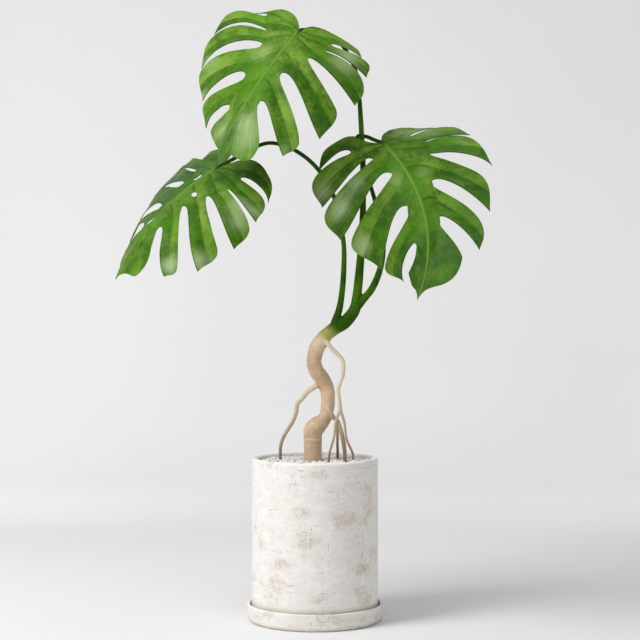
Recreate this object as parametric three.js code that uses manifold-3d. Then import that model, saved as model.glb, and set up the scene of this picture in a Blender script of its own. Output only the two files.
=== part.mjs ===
// A potted monstera: three cut leaves on long petioles, a tan stem with aerial roots,
// a straight-sided pot filled with soil under a layer of pebbles, and a saucer.
// Units are millimetres, +Z is up, X runs to the viewer's right and -Y to the viewer.
// The origin is the middle of the saucer's flat base.

import * as THREE from "three";
import Module from "manifold-3d";

const wasm = await Module();
wasm.setup();
const { Manifold, Mesh } = wasm;

// Clearance between pieces that touch.
const GAP = 0.3;

// Driving dimensions of the saucer, the pot and what fills it.
const SAUCER = {
  radius: 134, height: 34, wall: 5, floor: 8, taper: 2, baseEdge: 7, innerEdge: 4, sides: 48,
};
const POT = { radius: 125, height: 312, wall: 13, floor: 16, lip: 5.5, footEdge: 3, sides: 48 };
const SOIL = { depth: 274, sides: 48 };
const GRAVEL = { bed: 10, pitch: 18, jitter: 1.8, edge: 4, seed: 11, sides: 48 };
const PEBBLE = { radius: 7.7, squash: 0.85, narrow: 0.9, spread: 0.1, corners: 8 };

// The blades: half their thickness, how deep and how steep each finger's channel is, and
// the midrib.
const BLADE = {
  half: 0.7, channel: 4.5, channelSlope: 0.13, channelStart: 0.25, channelEnd: 0.6,
  ribRadius: 4, ribEnd: 1, ribSunk: 0.6, ribShare: 0.97, neck: 16,
};

// How the edges of the fingers curve, as shares of an edge's length, and the least distance
// between the feet of two fingers on the midrib.
const EDGE = { toEnd: 0.35, roundShoulder: 0.4, toTip: 0.3, webBend: 0.5, lastWeb: 0.35, leastWeb: 6 };

// The lines between neighbouring fingers lean to the base by this share of their length.
const WEB_LEAN = 0.7;

// The punch for the oval holes beside the midrib.
const PUNCH = { depth: 16, sides: 14 };

// How finely things are divided.
const BLADE_GRID = { webRows: 2, freeRows: 5, columns: 4, ribSteps: 10, bendStep: 8 };
const STEM_SIDES = 12;
const PETIOLE_SIDES = 8;
const ROOT_SIDES = 7;

const saucerFloor = SAUCER.floor;
const potBase = saucerFloor + GAP;
const potTop = potBase + POT.height;
const potInner = POT.radius - POT.wall;
const soilBase = potBase + POT.floor + GAP;
const soilTop = soilBase + SOIL.depth;
const gravelBase = soilTop + GAP;
const gravelTop = gravelBase + GRAVEL.bed;

// Centre lines of the stem and its branches: x, y, z and radius at each point.
const STEM = [
  [-4, 0, 262, 18], [-4, 0, 307, 18], [-4, 0, 355, 18], [-3, -1, 375, 19], [6, -3, 385, 18.2],
  [15, -4, 393, 15], [22, -3, 404, 13.1], [25, 0, 422, 14], [26, 1, 440, 14.1], [23.5, 3, 457, 14.7],
  [15, 3, 475, 15.3], [3, 1, 492, 15.3], [-2, -2, 510, 14.9], [0, -4, 525, 15.1], [5, -6, 540, 15.5],
  [14, -6, 553, 15], [22, -6, 564, 14],
];
const AERIAL_ROOTS = {
  left: [
    [10, 2, 467, 6], [-13, -2, 452, 5.2], [-26, -4, 437, 4.8], [-35, -6, 427, 4.6], [-37, -6, 411, 4.2],
    [-43.5, -7, 393, 4], [-53, -8, 377, 3.9], [-63, -9, 360, 3.7], [-68, -10, 341, 3.4],
    [-68, -10, 305, 2.8],
  ],
  front: [
    [14, -14, 556, 6], [24, -19, 548, 5], [34, -20, 536, 4.4], [46, -20, 524, 4.2], [54, -20, 514, 4.2],
    [56, -20, 501, 4.1], [55, -20, 484, 4], [50, -20, 470, 3.9], [46, -20, 456, 3.9], [48, -20, 436, 3.9],
    [50, -20, 416, 4],
  ],
  frontRightFork: [
    [50, -20, 418, 3.4], [58, -20, 390, 2.8], [63, -19, 356, 2.6], [74, -18, 331, 2.5],
    [76, -18, 306, 2.5],
  ],
  frontLeftFork: [
    [50, -20, 418, 3.4], [41, -23, 392, 2.8], [38, -27, 365, 2.6], [29, -35, 332, 2.5],
    [26, -38, 306, 2.5],
  ],
  right: [
    [21, -9, 425, 5], [26, -13, 417, 5.2], [32, -13, 408, 4.6], [38, -10, 399, 4.2], [45, -5, 393, 3.8],
    [53, -7, 367, 4.6], [58, -14, 340, 4.2], [60, -22, 306, 3.5],
  ],
  rightFork: [[46, -5, 394, 3], [45, 6, 370, 3], [45, 22, 343, 3], [46, 38, 306, 3]],
};
const PETIOLES = {
  centre: [
    [19, -6, 561, 13], [40, -5, 577, 13.3], [56, -5, 586, 13], [69, -5, 599, 12.5],
    [79, -5, 615, 11.5], [83, -4, 639, 9.5], [87, -3, 676, 8.7], [91, -2, 722, 7.8],
    [95, 0, 801, 6.5], [95, 0, 910, 5.7], [92, 0, 970, 5.2], [88, 3, 1036, 4.6],
    [83, 6, 1080, 4.2], [74, 8, 1106, 4], [60, 8, 1132, 4], [30, 3, 1160, 4],
    [-4, -11, 1169, 4], [-31, -25, 1162, 4],
  ],
  left: [
    [38, -5, 583, 8.5], [50, -6, 623, 6.5], [57, -5, 692, 5.5], [56, -3, 752, 4.8],
    [37, 0, 839, 4.6], [10, 2, 887, 4.4], [-20, 2, 917, 4.2], [-55, 1, 937, 4],
    [-89, -2, 944, 4], [-115, -5, 937, 4], [-154, -8, 916, 4], [-193, -13, 893, 4],
  ],
  right: [
    [77, -5, 611, 9], [97, -5, 635, 7.5], [111, -5, 652, 7.2], [123, -4, 676, 6.8],
    [131, -2, 702, 6.2], [135, 1, 736, 5.6], [129, 6, 788, 4.8], [119, 10, 832, 4.4],
    [100, 16, 892, 4], [84, 20, 937, 4], [81, 20, 951, 4.5], [87, 19, 960, 4.5],
    [102, 10, 958, 4], [117, -12, 949, 4], [133, -42, 939, 4],
  ],
};

// A leaf is drawn flat and then bent, and places in it are [along the midrib, across from it].
// The bend turns the flat leaf: angles are degrees at the petiole, and droop, turn and twist
// are what the midrib adds on its way to the tip, the second value growing with the square.
// A side of the blade rises by its fold from the midrib, and hangs down round its curl.
// Each finger has a rounded shoulder, a pointed tip and, on the tip's side, a cut to its inner
// end. Its edge on the base's side is "basal", the other is "apical": how far the edge first
// runs square to the cut, and how much it is drawn in near its end, as a share of its length.
// The first finger has its "lobe" instead, and the last its "margin", as two control points.
const FINGERS = 6;
const LEAVES = {
  leaf_left: {
    length: 303,
    stalk: PETIOLES.left,
    bend: { heading: -72, pitch: 31, roll: -14, droop: [31, 10], turn: [-9, 2], twist: 14 },
    left: {
      fold: 3,
      curl: 800,
      fingers: [
        {
          shoulder: [-44, 129], tip: [-12, 112], cut: [-13, 95],
          lobe: [[-36, 11], [-90, 54]], apical: [6, 0.05],
        },
        { shoulder: [-17, 180], tip: [25, 190], cut: [26, 62], basal: [4, 0.06], apical: [6, 0.05] },
        { shoulder: [13, 181], tip: [106, 212], cut: [67, 43], basal: [10, 0.18], apical: [18, 0.11] },
        {
          shoulder: [104, 215], tip: [179, 179], cut: [132, 30],
          basal: [30, -0.13], apical: [11, 0.24],
        },
        {
          shoulder: [198, 185], tip: [238, 170], cut: [187, 30],
          basal: [25, -0.05], apical: [19, 0.26],
        },
        { shoulder: [250, 75], tip: [303, 0], basal: [20, -0.25], margin: [[300, 84], [278, 54]] },
      ],
      holes: [
        { at: [40, 19], size: [20, 22], angle: 15 },
        { at: [169, 16], size: [30, 17], angle: 46 },
      ],
    },
    right: {
      fold: -2,
      curl: 156,
      fingers: [
        {
          shoulder: [-60, 110], tip: [-27, 152], cut: [-16, 73],
          lobe: [[-28, 18], [-84, 12]], apical: [6, 0.3],
        },
        { shoulder: [-23, 143], tip: [19, 174], cut: [22, 84], basal: [13, -0.12], apical: [6, -0.01] },
        { shoulder: [37, 175], tip: [96, 198], cut: [62, 70], basal: [4, -0.12], apical: [16, 0.01] },
        {
          shoulder: [122, 177], tip: [190, 187], cut: [109, 50],
          basal: [8, -0.01], apical: [26, -0.01],
        },
        {
          shoulder: [213, 155], tip: [240, 145], cut: [168, 49],
          basal: [5, -0.08], apical: [24, -0.09],
        },
        { shoulder: [244, 93], tip: [303, 0], basal: [12, -0.13], margin: [[298, 87], [252, 70]] },
      ],
      holes: [
        { at: [75, 39], size: [17, 11], angle: 80 },
      ],
    },
  },
  leaf_top: {
    length: 307,
    stalk: PETIOLES.centre,
    bend: { heading: -43, pitch: 42, roll: -21, droop: [24, 17], turn: [-5, -9], twist: 25 },
    left: {
      fold: -2,
      curl: 1100,
      fingers: [
        {
          shoulder: [-54, 77], tip: [-32, 126], cut: [-32, 97],
          lobe: [[-33, 18], [-60, 50]], apical: [12, -0.02],
        },
        { shoulder: [-27, 190], tip: [29, 201], cut: [10, 71], basal: [17, -0.28], apical: [0, 0.44] },
        { shoulder: [40, 203], tip: [120, 197], cut: [52, 58], basal: [11, -0.42], apical: [16, 0.47] },
        {
          shoulder: [121, 194], tip: [207, 160], cut: [139, 47],
          basal: [30, -0.3], apical: [41, 0.25],
        },
        {
          shoulder: [214, 151], tip: [276, 118], cut: [211, 48],
          basal: [22, -0.15], apical: [11, 0.31],
        },
        { shoulder: [278, 85], tip: [307, 0], basal: [27, -0.12], margin: [[297, 69], [302, 27]] },
      ],
      holes: [],
    },
    right: {
      fold: -2,
      curl: 205,
      fingers: [
        {
          shoulder: [-32, 118], tip: [-21, 135], cut: [0, 74],
          lobe: [[-27, 22], [-24, 8]], apical: [3, 0.1],
        },
        { shoulder: [-23, 148], tip: [14, 170], cut: [26, 75], basal: [13, -0.05], apical: [8, 0.07] },
        { shoulder: [50, 184], tip: [99, 191], cut: [62, 60], basal: [5, -0.43], apical: [11, 0.04] },
        {
          shoulder: [133, 165], tip: [207, 180], cut: [119, 34],
          basal: [11, 0.01], apical: [26, -0.01],
        },
        {
          shoulder: [231, 153], tip: [265, 144], cut: [190, 32],
          basal: [18, -0.06], apical: [20, -0.03],
        },
        { shoulder: [268, 91], tip: [307, 0], basal: [14, -0.02], margin: [[321, 101], [292, 57]] },
      ],
      holes: [],
    },
  },
  leaf_right: {
    length: 373,
    stalk: PETIOLES.right,
    bend: { heading: 38, pitch: 34, roll: 26, droop: [50, -22], turn: [-20, -37], twist: 35 },
    left: {
      fold: -8,
      curl: 240,
      fingers: [
        {
          shoulder: [-81, 85], tip: [-52, 131], cut: [-27, 60],
          lobe: [[-45, 54], [-78, -8]], apical: [27, 0.15],
        },
        { shoulder: [-49, 148], tip: [18, 177], cut: [23, 38], basal: [8, -0.17], apical: [27, -0.09] },
        { shoulder: [33, 174], tip: [120, 193], cut: [82, 26], basal: [8, -0.05], apical: [50, -0.17] },
        { shoulder: [146, 165], tip: [272, 138], cut: [168, 27], basal: [9, 0], apical: [42, -0.01] },
        { shoulder: [265, 120], tip: [328, 67], cut: [251, 30], basal: [24, 0], apical: [1, 0.45] },
        { shoulder: [313, 49], tip: [378, 0], basal: [13, 0.15], margin: [[367, 30], [333, 32]] },
      ],
      holes: [],
    },
    right: {
      fold: -8,
      curl: 1250,
      fingers: [
        {
          shoulder: [-53, 78], tip: [-34, 147], cut: [-4, 68],
          lobe: [[-34, 6], [-53, 63]], apical: [5, 0.05],
        },
        { shoulder: [-36, 188], tip: [32, 186], cut: [26, 80], basal: [8, -0.12], apical: [0, 0.21] },
        { shoulder: [31, 166], tip: [131, 162], cut: [66, 65], basal: [9, -0.25], apical: [0, 0.36] },
        {
          shoulder: [141, 127], tip: [220, 121], cut: [133, 35],
          basal: [8, -0.05], apical: [27, 0.09],
        },
        {
          shoulder: [245, 104], tip: [286, 99], cut: [212, 27],
          basal: [24, -0.12], apical: [12, 0.05],
        },
        { shoulder: [296, 68], tip: [378, 0], basal: [21, 0], margin: [[367, 73], [331, 7]] },
      ],
      holes: [],
    },
  },
};

function solidFrom(vertices, triangles) {
  const mesh = new Mesh({
    numProp: 3,
    vertProperties: Float32Array.from(vertices.flatMap((v) => [v.x, v.y, v.z])),
    triVerts: Uint32Array.from(triangles.flat()),
  });
  return new Manifold(mesh);
}

function meshFrom(name, solid, color, roughness) {
  const { numProp, vertProperties, triVerts } = solid.getMesh();
  const positions = [];
  for (let i = 0; i < vertProperties.length; i += numProp) {
    positions.push(vertProperties[i], vertProperties[i + 1], vertProperties[i + 2]);
  }
  const geometry = new THREE.BufferGeometry();
  geometry.setAttribute("position", new THREE.Float32BufferAttribute(positions, 3));
  geometry.setIndex(Array.from(triVerts));
  geometry.computeVertexNormals();
  const material = new THREE.MeshStandardMaterial({ color, roughness });
  const mesh = new THREE.Mesh(geometry, material);
  mesh.name = name;
  return mesh;
}

// The largest connected piece, without the crumbs that a cut can leave.
function largest(solid) {
  const pieces = solid.decompose();
  return pieces.reduce((best, piece) => (piece.volume() > best.volume() ? piece : best));
}

// A quarter circle in a turned profile, from one angle to another in degrees.
function arc(centreR, centreZ, radius, from, to, steps = 3) {
  const points = [];
  for (let i = 0; i <= steps; i += 1) {
    const angle = THREE.MathUtils.degToRad(from + ((to - from) * i) / steps);
    points.push([centreR + radius * Math.cos(angle), centreZ + radius * Math.sin(angle)]);
  }
  return points;
}

// A round tube along points of x, y, z and radius, with flat ends. "grow" makes it
// thicker and longer all round, for the hole that it stands in.
function tube(path, sides, steps, grow = 0) {
  const curve = new THREE.CatmullRomCurve3(path.map(([x, y, z]) => new THREE.Vector3(x, y, z)));
  const spans = path.length - 1;
  const count = spans * steps;
  const vertices = [];
  const triangles = [];
  let normal = null;
  let previous = null;
  for (let i = 0; i <= count; i += 1) {
    const t = i / count;
    const tangent = curve.getTangent(t);
    const centre = curve.getPoint(t);
    if (i === 0) {
      centre.addScaledVector(tangent, -grow);
      normal = new THREE.Vector3(0, 1, 0).cross(tangent).normalize();
    } else {
      normal.applyQuaternion(new THREE.Quaternion().setFromUnitVectors(previous, tangent));
    }
    if (i === count) {
      centre.addScaledVector(tangent, grow);
    }
    previous = tangent;
    const span = Math.min(Math.floor(t * spans), spans - 1);
    const share = t * spans - span;
    const radius = THREE.MathUtils.lerp(path[span][3], path[span + 1][3], share) + grow;
    for (let side = 0; side < sides; side += 1) {
      const spoke = normal.clone().applyAxisAngle(tangent, (2 * Math.PI * side) / sides);
      vertices.push(centre.clone().addScaledVector(spoke, radius));
    }
  }
  for (let ring = 0; ring < count; ring += 1) {
    for (let side = 0; side < sides; side += 1) {
      const next = (side + 1) % sides;
      const a = ring * sides + side;
      const b = ring * sides + next;
      triangles.push([a, b, a + sides], [b, b + sides, a + sides]);
    }
  }
  for (let side = 1; side < sides - 1; side += 1) {
    const last = count * sides;
    triangles.push([0, side + 1, side], [last, last + side, last + side + 1]);
  }
  return solidFrom(vertices, triangles);
}

function saucer() {
  const { radius, height, wall, floor, taper, baseEdge, innerEdge, sides } = SAUCER;
  const lip = wall / 2;
  const inner = radius - wall;
  const profile = [
    [0, 0],
    ...arc(radius - taper - baseEdge, baseEdge, baseEdge, -90, 0),
    ...arc(radius - lip, height - lip, lip, 0, 180, 5),
    ...arc(inner - innerEdge, floor + innerEdge, innerEdge, 0, -90, 2),
    [0, floor],
  ];
  return Manifold.revolve([profile], sides);
}

function pot() {
  const { radius, floor, lip, footEdge, sides } = POT;
  const profile = [
    [0, potBase],
    ...arc(radius - footEdge, potBase + footEdge, footEdge, -90, 0, 2),
    ...arc(radius - lip, potTop - lip, lip, 0, 90),
    ...arc(potInner + lip, potTop - lip, lip, 90, 180),
    [potInner, potBase + floor],
    [0, potBase + floor],
  ];
  return Manifold.revolve([profile], sides);
}

function stemWithRoots(grow = 0) {
  const roots = Object.values(AERIAL_ROOTS).map((path) => tube(path, ROOT_SIDES, 2, grow));
  return Manifold.union([tube(STEM, STEM_SIDES, 2, grow), ...roots]);
}

// The point where a petiole ends and the leaf's own neck takes over.
function neckStart(path, clearance) {
  const end = new THREE.Vector3(...path.at(-1));
  const before = new THREE.Vector3(...path.at(-2));
  const { x, y, z } = end.lerp(before, (BLADE.neck - clearance) / end.distanceTo(before));
  return [x, y, z, path.at(-1)[3]];
}

function petioles() {
  const paths = Object.values(PETIOLES).map((path) => [...path.slice(0, -1), neckStart(path, 0)]);
  return Manifold.union(paths.map((path) => tube(path, PETIOLE_SIDES, 2)));
}

const vec2 = ([along, across]) => new THREE.Vector2(along, across);

// Points of one curved edge, from its first to its last control point.
function edge(start, startControl, endControl, end, count) {
  const curve = new THREE.CubicBezierCurve(start, startControl, endControl, end);
  return curve.getPoints(count);
}

// The direction of a cut away from the midrib, and the one square to it towards the leaf's tip.
function cutFrame(fingers, index) {
  const mouth = vec2(fingers[index].tip).add(vec2(fingers[index + 1].shoulder)).multiplyScalar(0.5);
  const out = mouth.sub(vec2(fingers[index].cut)).normalize();
  const square = new THREE.Vector2(out.y, -out.x);
  return { out, square: square.x > 0 ? square : square.negate() };
}

// The line between two fingers from the midrib, which runs into their cut.
function web(rib, cut, out) {
  const nearCut = cut.clone().addScaledVector(out, -EDGE.webBend * cut.distanceTo(rib));
  return edge(rib, rib.clone().lerp(nearCut, 0.5), nearCut, cut, BLADE_GRID.webRows);
}

// A finger's edge from the midrib to the inner end of a cut, and along the cut to its end.
// "towards" is 1 where the finger lies on the tip's side of the cut, and -1 on the base's side.
function cutEdge(rib, cut, { out, square }, towards, end, [first, pinch]) {
  const length = cut.distanceTo(end);
  const straight = end.clone().sub(cut).divideScalar(length);
  const inward = square.clone().addScaledVector(straight, -square.dot(straight)).normalize();
  const nearCut = cut.clone().addScaledVector(square, towards * first);
  const nearEnd = end.clone().addScaledVector(straight, -EDGE.toEnd * length);
  nearEnd.addScaledVector(inward, towards * pinch * length);
  const free = edge(cut, nearCut, nearEnd, end, BLADE_GRID.freeRows);
  return { points: [...web(rib, cut, out), ...free.slice(1)], nearEnd };
}

// The edge of a finger on the leaf's base side, from the midrib to its shoulder.
function basalEdge(fingers, index, rib) {
  const shoulder = vec2(fingers[index].shoulder);
  if (index === 0) {
    const [nearNotch, nearEnd] = fingers[0].lobe.map(vec2);
    const count = BLADE_GRID.webRows + BLADE_GRID.freeRows;
    return { points: edge(new THREE.Vector2(0, 0), nearNotch, nearEnd, shoulder, count), nearEnd };
  }
  const cut = vec2(fingers[index - 1].cut);
  return cutEdge(rib, cut, cutFrame(fingers, index - 1), 1, shoulder, fingers[index].basal);
}

// The edge of a finger on the leaf's tip side, from the midrib to its pointed tip.
function apicalEdge(fingers, index, rib) {
  const { cut, apical } = fingers[index];
  const tip = vec2(fingers[index].tip);
  if (index === fingers.length - 1) {
    const thirds = [1 / 3, 2 / 3].map((share) => rib.clone().lerp(tip, share));
    return edge(rib, thirds[0], thirds[1], tip, BLADE_GRID.webRows + BLADE_GRID.freeRows);
  }
  return cutEdge(rib, vec2(cut), cutFrame(fingers, index), -1, tip, apical).points;
}

// The outer margin of a finger, which carries on from its basal edge round to its tip.
function outerMargin(finger, nearShoulder, count) {
  const shoulder = vec2(finger.shoulder);
  const tip = vec2(finger.tip);
  if (finger.margin) {
    return edge(shoulder, ...finger.margin.map(vec2), tip, count);
  }
  const onward = shoulder.clone().sub(nearShoulder).normalize();
  const start = shoulder.clone().addScaledVector(onward, EDGE.roundShoulder * shoulder.distanceTo(tip));
  return edge(shoulder, start, tip.clone().lerp(shoulder, EDGE.toTip), tip, count);
}

// Where the lines between neighbouring fingers leave the midrib, the same for both sides.
function ribStations(leaf) {
  const stations = [0];
  for (let index = 0; index < FINGERS - 1; index += 1) {
    const foot = ["left", "right"].map((side) => {
      const [along, across] = leaf[side].fingers[index].cut;
      return along - WEB_LEAN * across;
    });
    stations.push(Math.max((foot[0] + foot[1]) / 2, stations[index] + EDGE.leastWeb));
  }
  stations.push(THREE.MathUtils.lerp(stations.at(-1), leaf.length, EDGE.lastWeb));
  return stations.map((along) => new THREE.Vector2(along, 0));
}

// How deep the channel along the middle of a finger is, at u across and v along the finger.
function channelDepth(u, v, width) {
  const depth = Math.min(BLADE.channel, BLADE.channelSlope * width);
  const ends = Math.min(1, v / BLADE.channelStart) * (1 - BLADE.channelEnd * v ** 3);
  return depth * ends * (1 - Math.abs(2 * u - 1)) ** 1.5;
}

// One finger as a grid of flat points between its four edges.
function fingerGrid(leaf, side, index, stations) {
  const { fingers } = leaf[side];
  const columns = BLADE_GRID.columns;
  const rows = BLADE_GRID.webRows + BLADE_GRID.freeRows;
  const { points: basal, nearEnd } = basalEdge(fingers, index, stations[index]);
  const apical = apicalEdge(fingers, index, stations[index + 1]);
  const outer = outerMargin(fingers[index], nearEnd, columns);
  const grid = [];
  for (let row = 0; row <= rows; row += 1) {
    const v = row / rows;
    const line = [];
    for (let column = 0; column <= columns; column += 1) {
      const u = column / columns;
      const foot = stations[index].clone().lerp(stations[index + 1], u);
      const between = basal[row].clone().lerp(apical[row], u);
      const endsBetween = basal[0].clone().lerp(apical[0], u).multiplyScalar(1 - v);
      endsBetween.addScaledVector(basal[rows].clone().lerp(apical[rows], u), v);
      const point = between.addScaledVector(foot, 1 - v).addScaledVector(outer[column], v);
      point.sub(endsBetween);
      const sink = channelDepth(u, v, basal[row].distanceTo(apical[row]));
      line.push({ along: point.x, across: point.y, sink });
    }
    grid.push(line);
  }
  return grid;
}

// The bent leaf: where a flat point goes, and which way the upper face looks there.
function bender(leaf) {
  const { heading, pitch, roll, droop, turn, twist } = leaf.bend;
  const radians = THREE.MathUtils.degToRad;
  const axisX = new THREE.Vector3(1, 0, 0);
  const axisY = new THREE.Vector3(0, 1, 0);
  const axisZ = new THREE.Vector3(0, 0, 1);
  const turned = (axis, degrees) => new THREE.Quaternion().setFromAxisAngle(axis, radians(degrees));
  const start = turned(axisZ, heading - 90);
  start.multiply(turned(axisY, pitch)).multiply(turned(axisX, roll));

  function attitude(share) {
    const result = start.clone();
    result.multiply(turned(axisZ, turn[0] * share + turn[1] * share * share));
    result.multiply(turned(axisY, droop[0] * share + droop[1] * share * share));
    result.multiply(turned(axisX, twist * share));
    return result;
  }

  function ribPoint(along) {
    const steps = Math.max(2, Math.ceil(Math.abs(along) / BLADE_GRID.bendStep));
    const point = new THREE.Vector3(...leaf.stalk.at(-1));
    for (let step = 0; step < steps; step += 1) {
      const share = ((step + 0.5) / steps) * (along / leaf.length);
      point.addScaledVector(axisX.clone().applyQuaternion(attitude(share)), along / steps);
    }
    return point;
  }

  return (along, across, lift = 0) => {
    const { curl, fold } = across < 0 ? leaf.left : leaf.right;
    const rise = -radians(fold);
    const lean = rise + Math.abs(across) / curl;
    const out = curl * (Math.sin(lean) - Math.sin(rise));
    const down = curl * (Math.cos(rise) - Math.cos(lean));
    const turnedBy = attitude(along / leaf.length);
    const point = ribPoint(along);
    point.addScaledVector(axisY.clone().applyQuaternion(turnedBy), Math.sign(across) * out);
    point.addScaledVector(axisZ.clone().applyQuaternion(turnedBy), lift - down);
    return point;
  };
}

// The blade's middle surface as shared points and triangles, both halves together.
function bladeSurface(leaf, place) {
  const stations = ribStations(leaf);
  const points = [];
  const faces = [];
  const known = new Map();
  const indexOf = (along, across, sink) => {
    const key = `${along.toFixed(2)},${across.toFixed(2)}`;
    if (!known.has(key)) {
      known.set(key, points.length);
      points.push(place(along, across, -sink));
    }
    return known.get(key);
  };
  for (const side of ["left", "right"]) {
    const sign = side === "left" ? -1 : 1;
    for (let finger = 0; finger < FINGERS; finger += 1) {
      const grid = fingerGrid(leaf, side, finger, stations);
      for (let row = 0; row < grid.length - 1; row += 1) {
        for (let column = 0; column < BLADE_GRID.columns; column += 1) {
          const corners = [
            grid[row][column], grid[row][column + 1],
            grid[row + 1][column + 1], grid[row + 1][column],
          ].map((p) => indexOf(p.along, sign * p.across, p.sink));
          const [a, b, c, d] = side === "left" ? [...corners].reverse() : corners;
          faces.push([a, b, c], [a, c, d]);
        }
      }
    }
  }
  return { points, faces: faces.filter(([a, b, c]) => a !== b && b !== c && c !== a) };
}

// A sheet of even thickness round a middle surface, split alike on both faces.
function thicken({ points, faces }, half) {
  const normals = points.map(() => new THREE.Vector3());
  for (const [a, b, c] of faces) {
    const first = points[b].clone().sub(points[a]);
    const second = points[c].clone().sub(points[a]);
    const normal = first.cross(second);
    [a, b, c].forEach((corner) => normals[corner].add(normal));
  }
  normals.forEach((normal) => normal.normalize());
  const upper = points.map((point, i) => point.clone().addScaledVector(normals[i], half));
  const under = points.map((point, i) => point.clone().addScaledVector(normals[i], -half));
  const count = points.length;
  const triangles = [];
  const edges = new Map();
  for (const [a, b, c] of faces) {
    triangles.push([a, b, c], [a + count, c + count, b + count]);
    [[a, b], [b, c], [c, a]].forEach(([from, to]) => edges.set(`${from},${to}`, [from, to]));
  }
  for (const [from, to] of edges.values()) {
    if (!edges.has(`${to},${from}`)) {
      triangles.push([to, from, from + count], [to, from + count, to + count]);
    }
  }
  return solidFrom([...upper, ...under], triangles);
}

// The neck that carries on from the petiole, and the midrib that it becomes under the blade.
function neckAndMidrib(leaf, place) {
  const path = [neckStart(leaf.stalk, GAP)];
  const count = BLADE_GRID.ribSteps;
  for (let i = 0; i <= count; i += 1) {
    const share = i / count;
    const radius = THREE.MathUtils.lerp(BLADE.ribRadius, BLADE.ribEnd, share);
    const sunk = Math.min(1, count * share) * BLADE.ribSunk * radius;
    const { x, y, z } = place(BLADE.ribShare * leaf.length * share, 0, -sunk);
    path.push([x, y, z, radius]);
  }
  return tube(path, PETIOLE_SIDES, 1);
}

// An oval punch through the blade.
function holePunch(place, sign, { at: [along, across], size, angle }) {
  const centre = place(along, sign * across);
  const ahead = place(along + 1, sign * across).sub(centre).normalize();
  const aside = place(along, sign * (across + 1)).sub(centre).normalize();
  const up = ahead.clone().cross(aside).multiplyScalar(sign).normalize();
  const square = up.clone().cross(ahead).multiplyScalar(sign);
  const turn = THREE.MathUtils.degToRad(angle);
  const long = ahead.clone().multiplyScalar(Math.cos(turn)).addScaledVector(square, Math.sin(turn));
  const short = up.clone().cross(long);
  const matrix = new THREE.Matrix4().makeBasis(long, short, up).setPosition(centre);
  const oval = Manifold.cylinder(PUNCH.depth, 0.5, 0.5, PUNCH.sides, true).scale([size[0], size[1], 1]);
  return oval.transform(matrix.elements);
}

function leafSolid(leaf) {
  const place = bender(leaf);
  const sheet = thicken(bladeSurface(leaf, place), BLADE.half);
  const punches = [
    ...leaf.left.holes.map((hole) => holePunch(place, -1, hole)),
    ...leaf.right.holes.map((hole) => holePunch(place, 1, hole)),
  ];
  const cut = punches.length > 0 ? sheet.subtract(Manifold.union(punches)) : sheet;
  return cut.add(neckAndMidrib(leaf, place));
}

// Even random numbers from 0 to 1, the same at each run.
function seeded(seed) {
  let state = seed;
  return () => {
    state = (state * 1664525 + 1013904223) % 4294967296;
    return state / 4294967296;
  };
}

// Golden angle, in radians, which spreads points evenly over a pebble.
const GOLDEN_ANGLE = Math.PI * (3 - Math.sqrt(5));

function pebble(x, y, z, random) {
  const { corners, spread } = PEBBLE;
  const vary = (value) => value * (1 + spread * (2 * random() - 1));
  const radius = vary(PEBBLE.radius);
  const flat = vary(PEBBLE.squash);
  const narrow = vary(PEBBLE.narrow);
  const turn = 2 * Math.PI * random();
  const points = [];
  for (let i = 0; i < corners; i += 1) {
    const height = 1 - (2 * i + 1) / corners;
    const ring = Math.sqrt(1 - height * height);
    const angle = i * GOLDEN_ANGLE + spread * random();
    const px = radius * ring * Math.cos(angle);
    const py = radius * ring * Math.sin(angle) * narrow;
    points.push([
      x + px * Math.cos(turn) - py * Math.sin(turn),
      y + px * Math.sin(turn) + py * Math.cos(turn),
      z + radius * flat * height,
    ]);
  }
  return Manifold.hull(points);
}

// A bed of pebbles, laid on a jittered triangular grid and trimmed to the pot's wall.
function gravel(stemHole) {
  const { bed, pitch, jitter, edge: margin, seed, sides } = GRAVEL;
  const random = seeded(seed);
  const radius = potInner - GAP;
  const pieces = [Manifold.cylinder(bed, radius, radius, sides).translate([0, 0, gravelBase])];
  const rowHeight = pitch * Math.sin(Math.PI / 3);
  const rows = Math.ceil(radius / rowHeight);
  for (let row = -rows; row <= rows; row += 1) {
    for (let column = -rows - 1; column <= rows + 1; column += 1) {
      const x = (column + (row % 2 === 0 ? 0 : 0.5)) * pitch + (random() - 0.5) * jitter;
      const y = row * rowHeight + (random() - 0.5) * jitter;
      const z = gravelTop - jitter * random();
      if (Math.hypot(x, y) < radius - margin) {
        pieces.push(pebble(x, y, z, random));
      }
    }
  }
  const space = Manifold.cylinder(4 * bed, radius, radius, sides).translate([0, 0, gravelBase]);
  return largest(Manifold.union(pieces).intersect(space).subtract(stemHole));
}

function soil(stemHole) {
  const radius = potInner - GAP;
  const fill = Manifold.cylinder(SOIL.depth, radius, radius, SOIL.sides);
  return fill.translate([0, 0, soilBase]).subtract(stemHole);
}

const stemHole = stemWithRoots(GAP);

const plant = new THREE.Group();
plant.name = "potted_monstera";
plant.add(meshFrom("saucer", saucer(), 0xd9d2c6, 0.8));
plant.add(meshFrom("pot", pot(), 0xe0dacf, 0.85));
plant.add(meshFrom("potting_soil", soil(stemHole), 0x3b2c22, 1));
plant.add(meshFrom("pebbles", gravel(stemHole), 0xeceae6, 0.7));
plant.add(meshFrom("stem", stemWithRoots(), 0xb79a72, 0.7));
plant.add(meshFrom("petioles", largest(petioles().subtract(stemHole)), 0x5f8f2f, 0.55));
for (const [name, leaf] of Object.entries(LEAVES)) {
  plant.add(meshFrom(name, leafSolid(leaf), 0x4f8a2c, 0.5));
}

export default plant;
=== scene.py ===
# A potted monstera: the finer pieces, the materials, the light and the camera.
# Sizes are millimetres unless a comment says otherwise, and the meshes are made in metres, in the
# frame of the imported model. The driving sizes are those of the CAD source, apart from the
# blades, which are thinner here, and the pebbles, which have their real size here.

import math
import random

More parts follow.
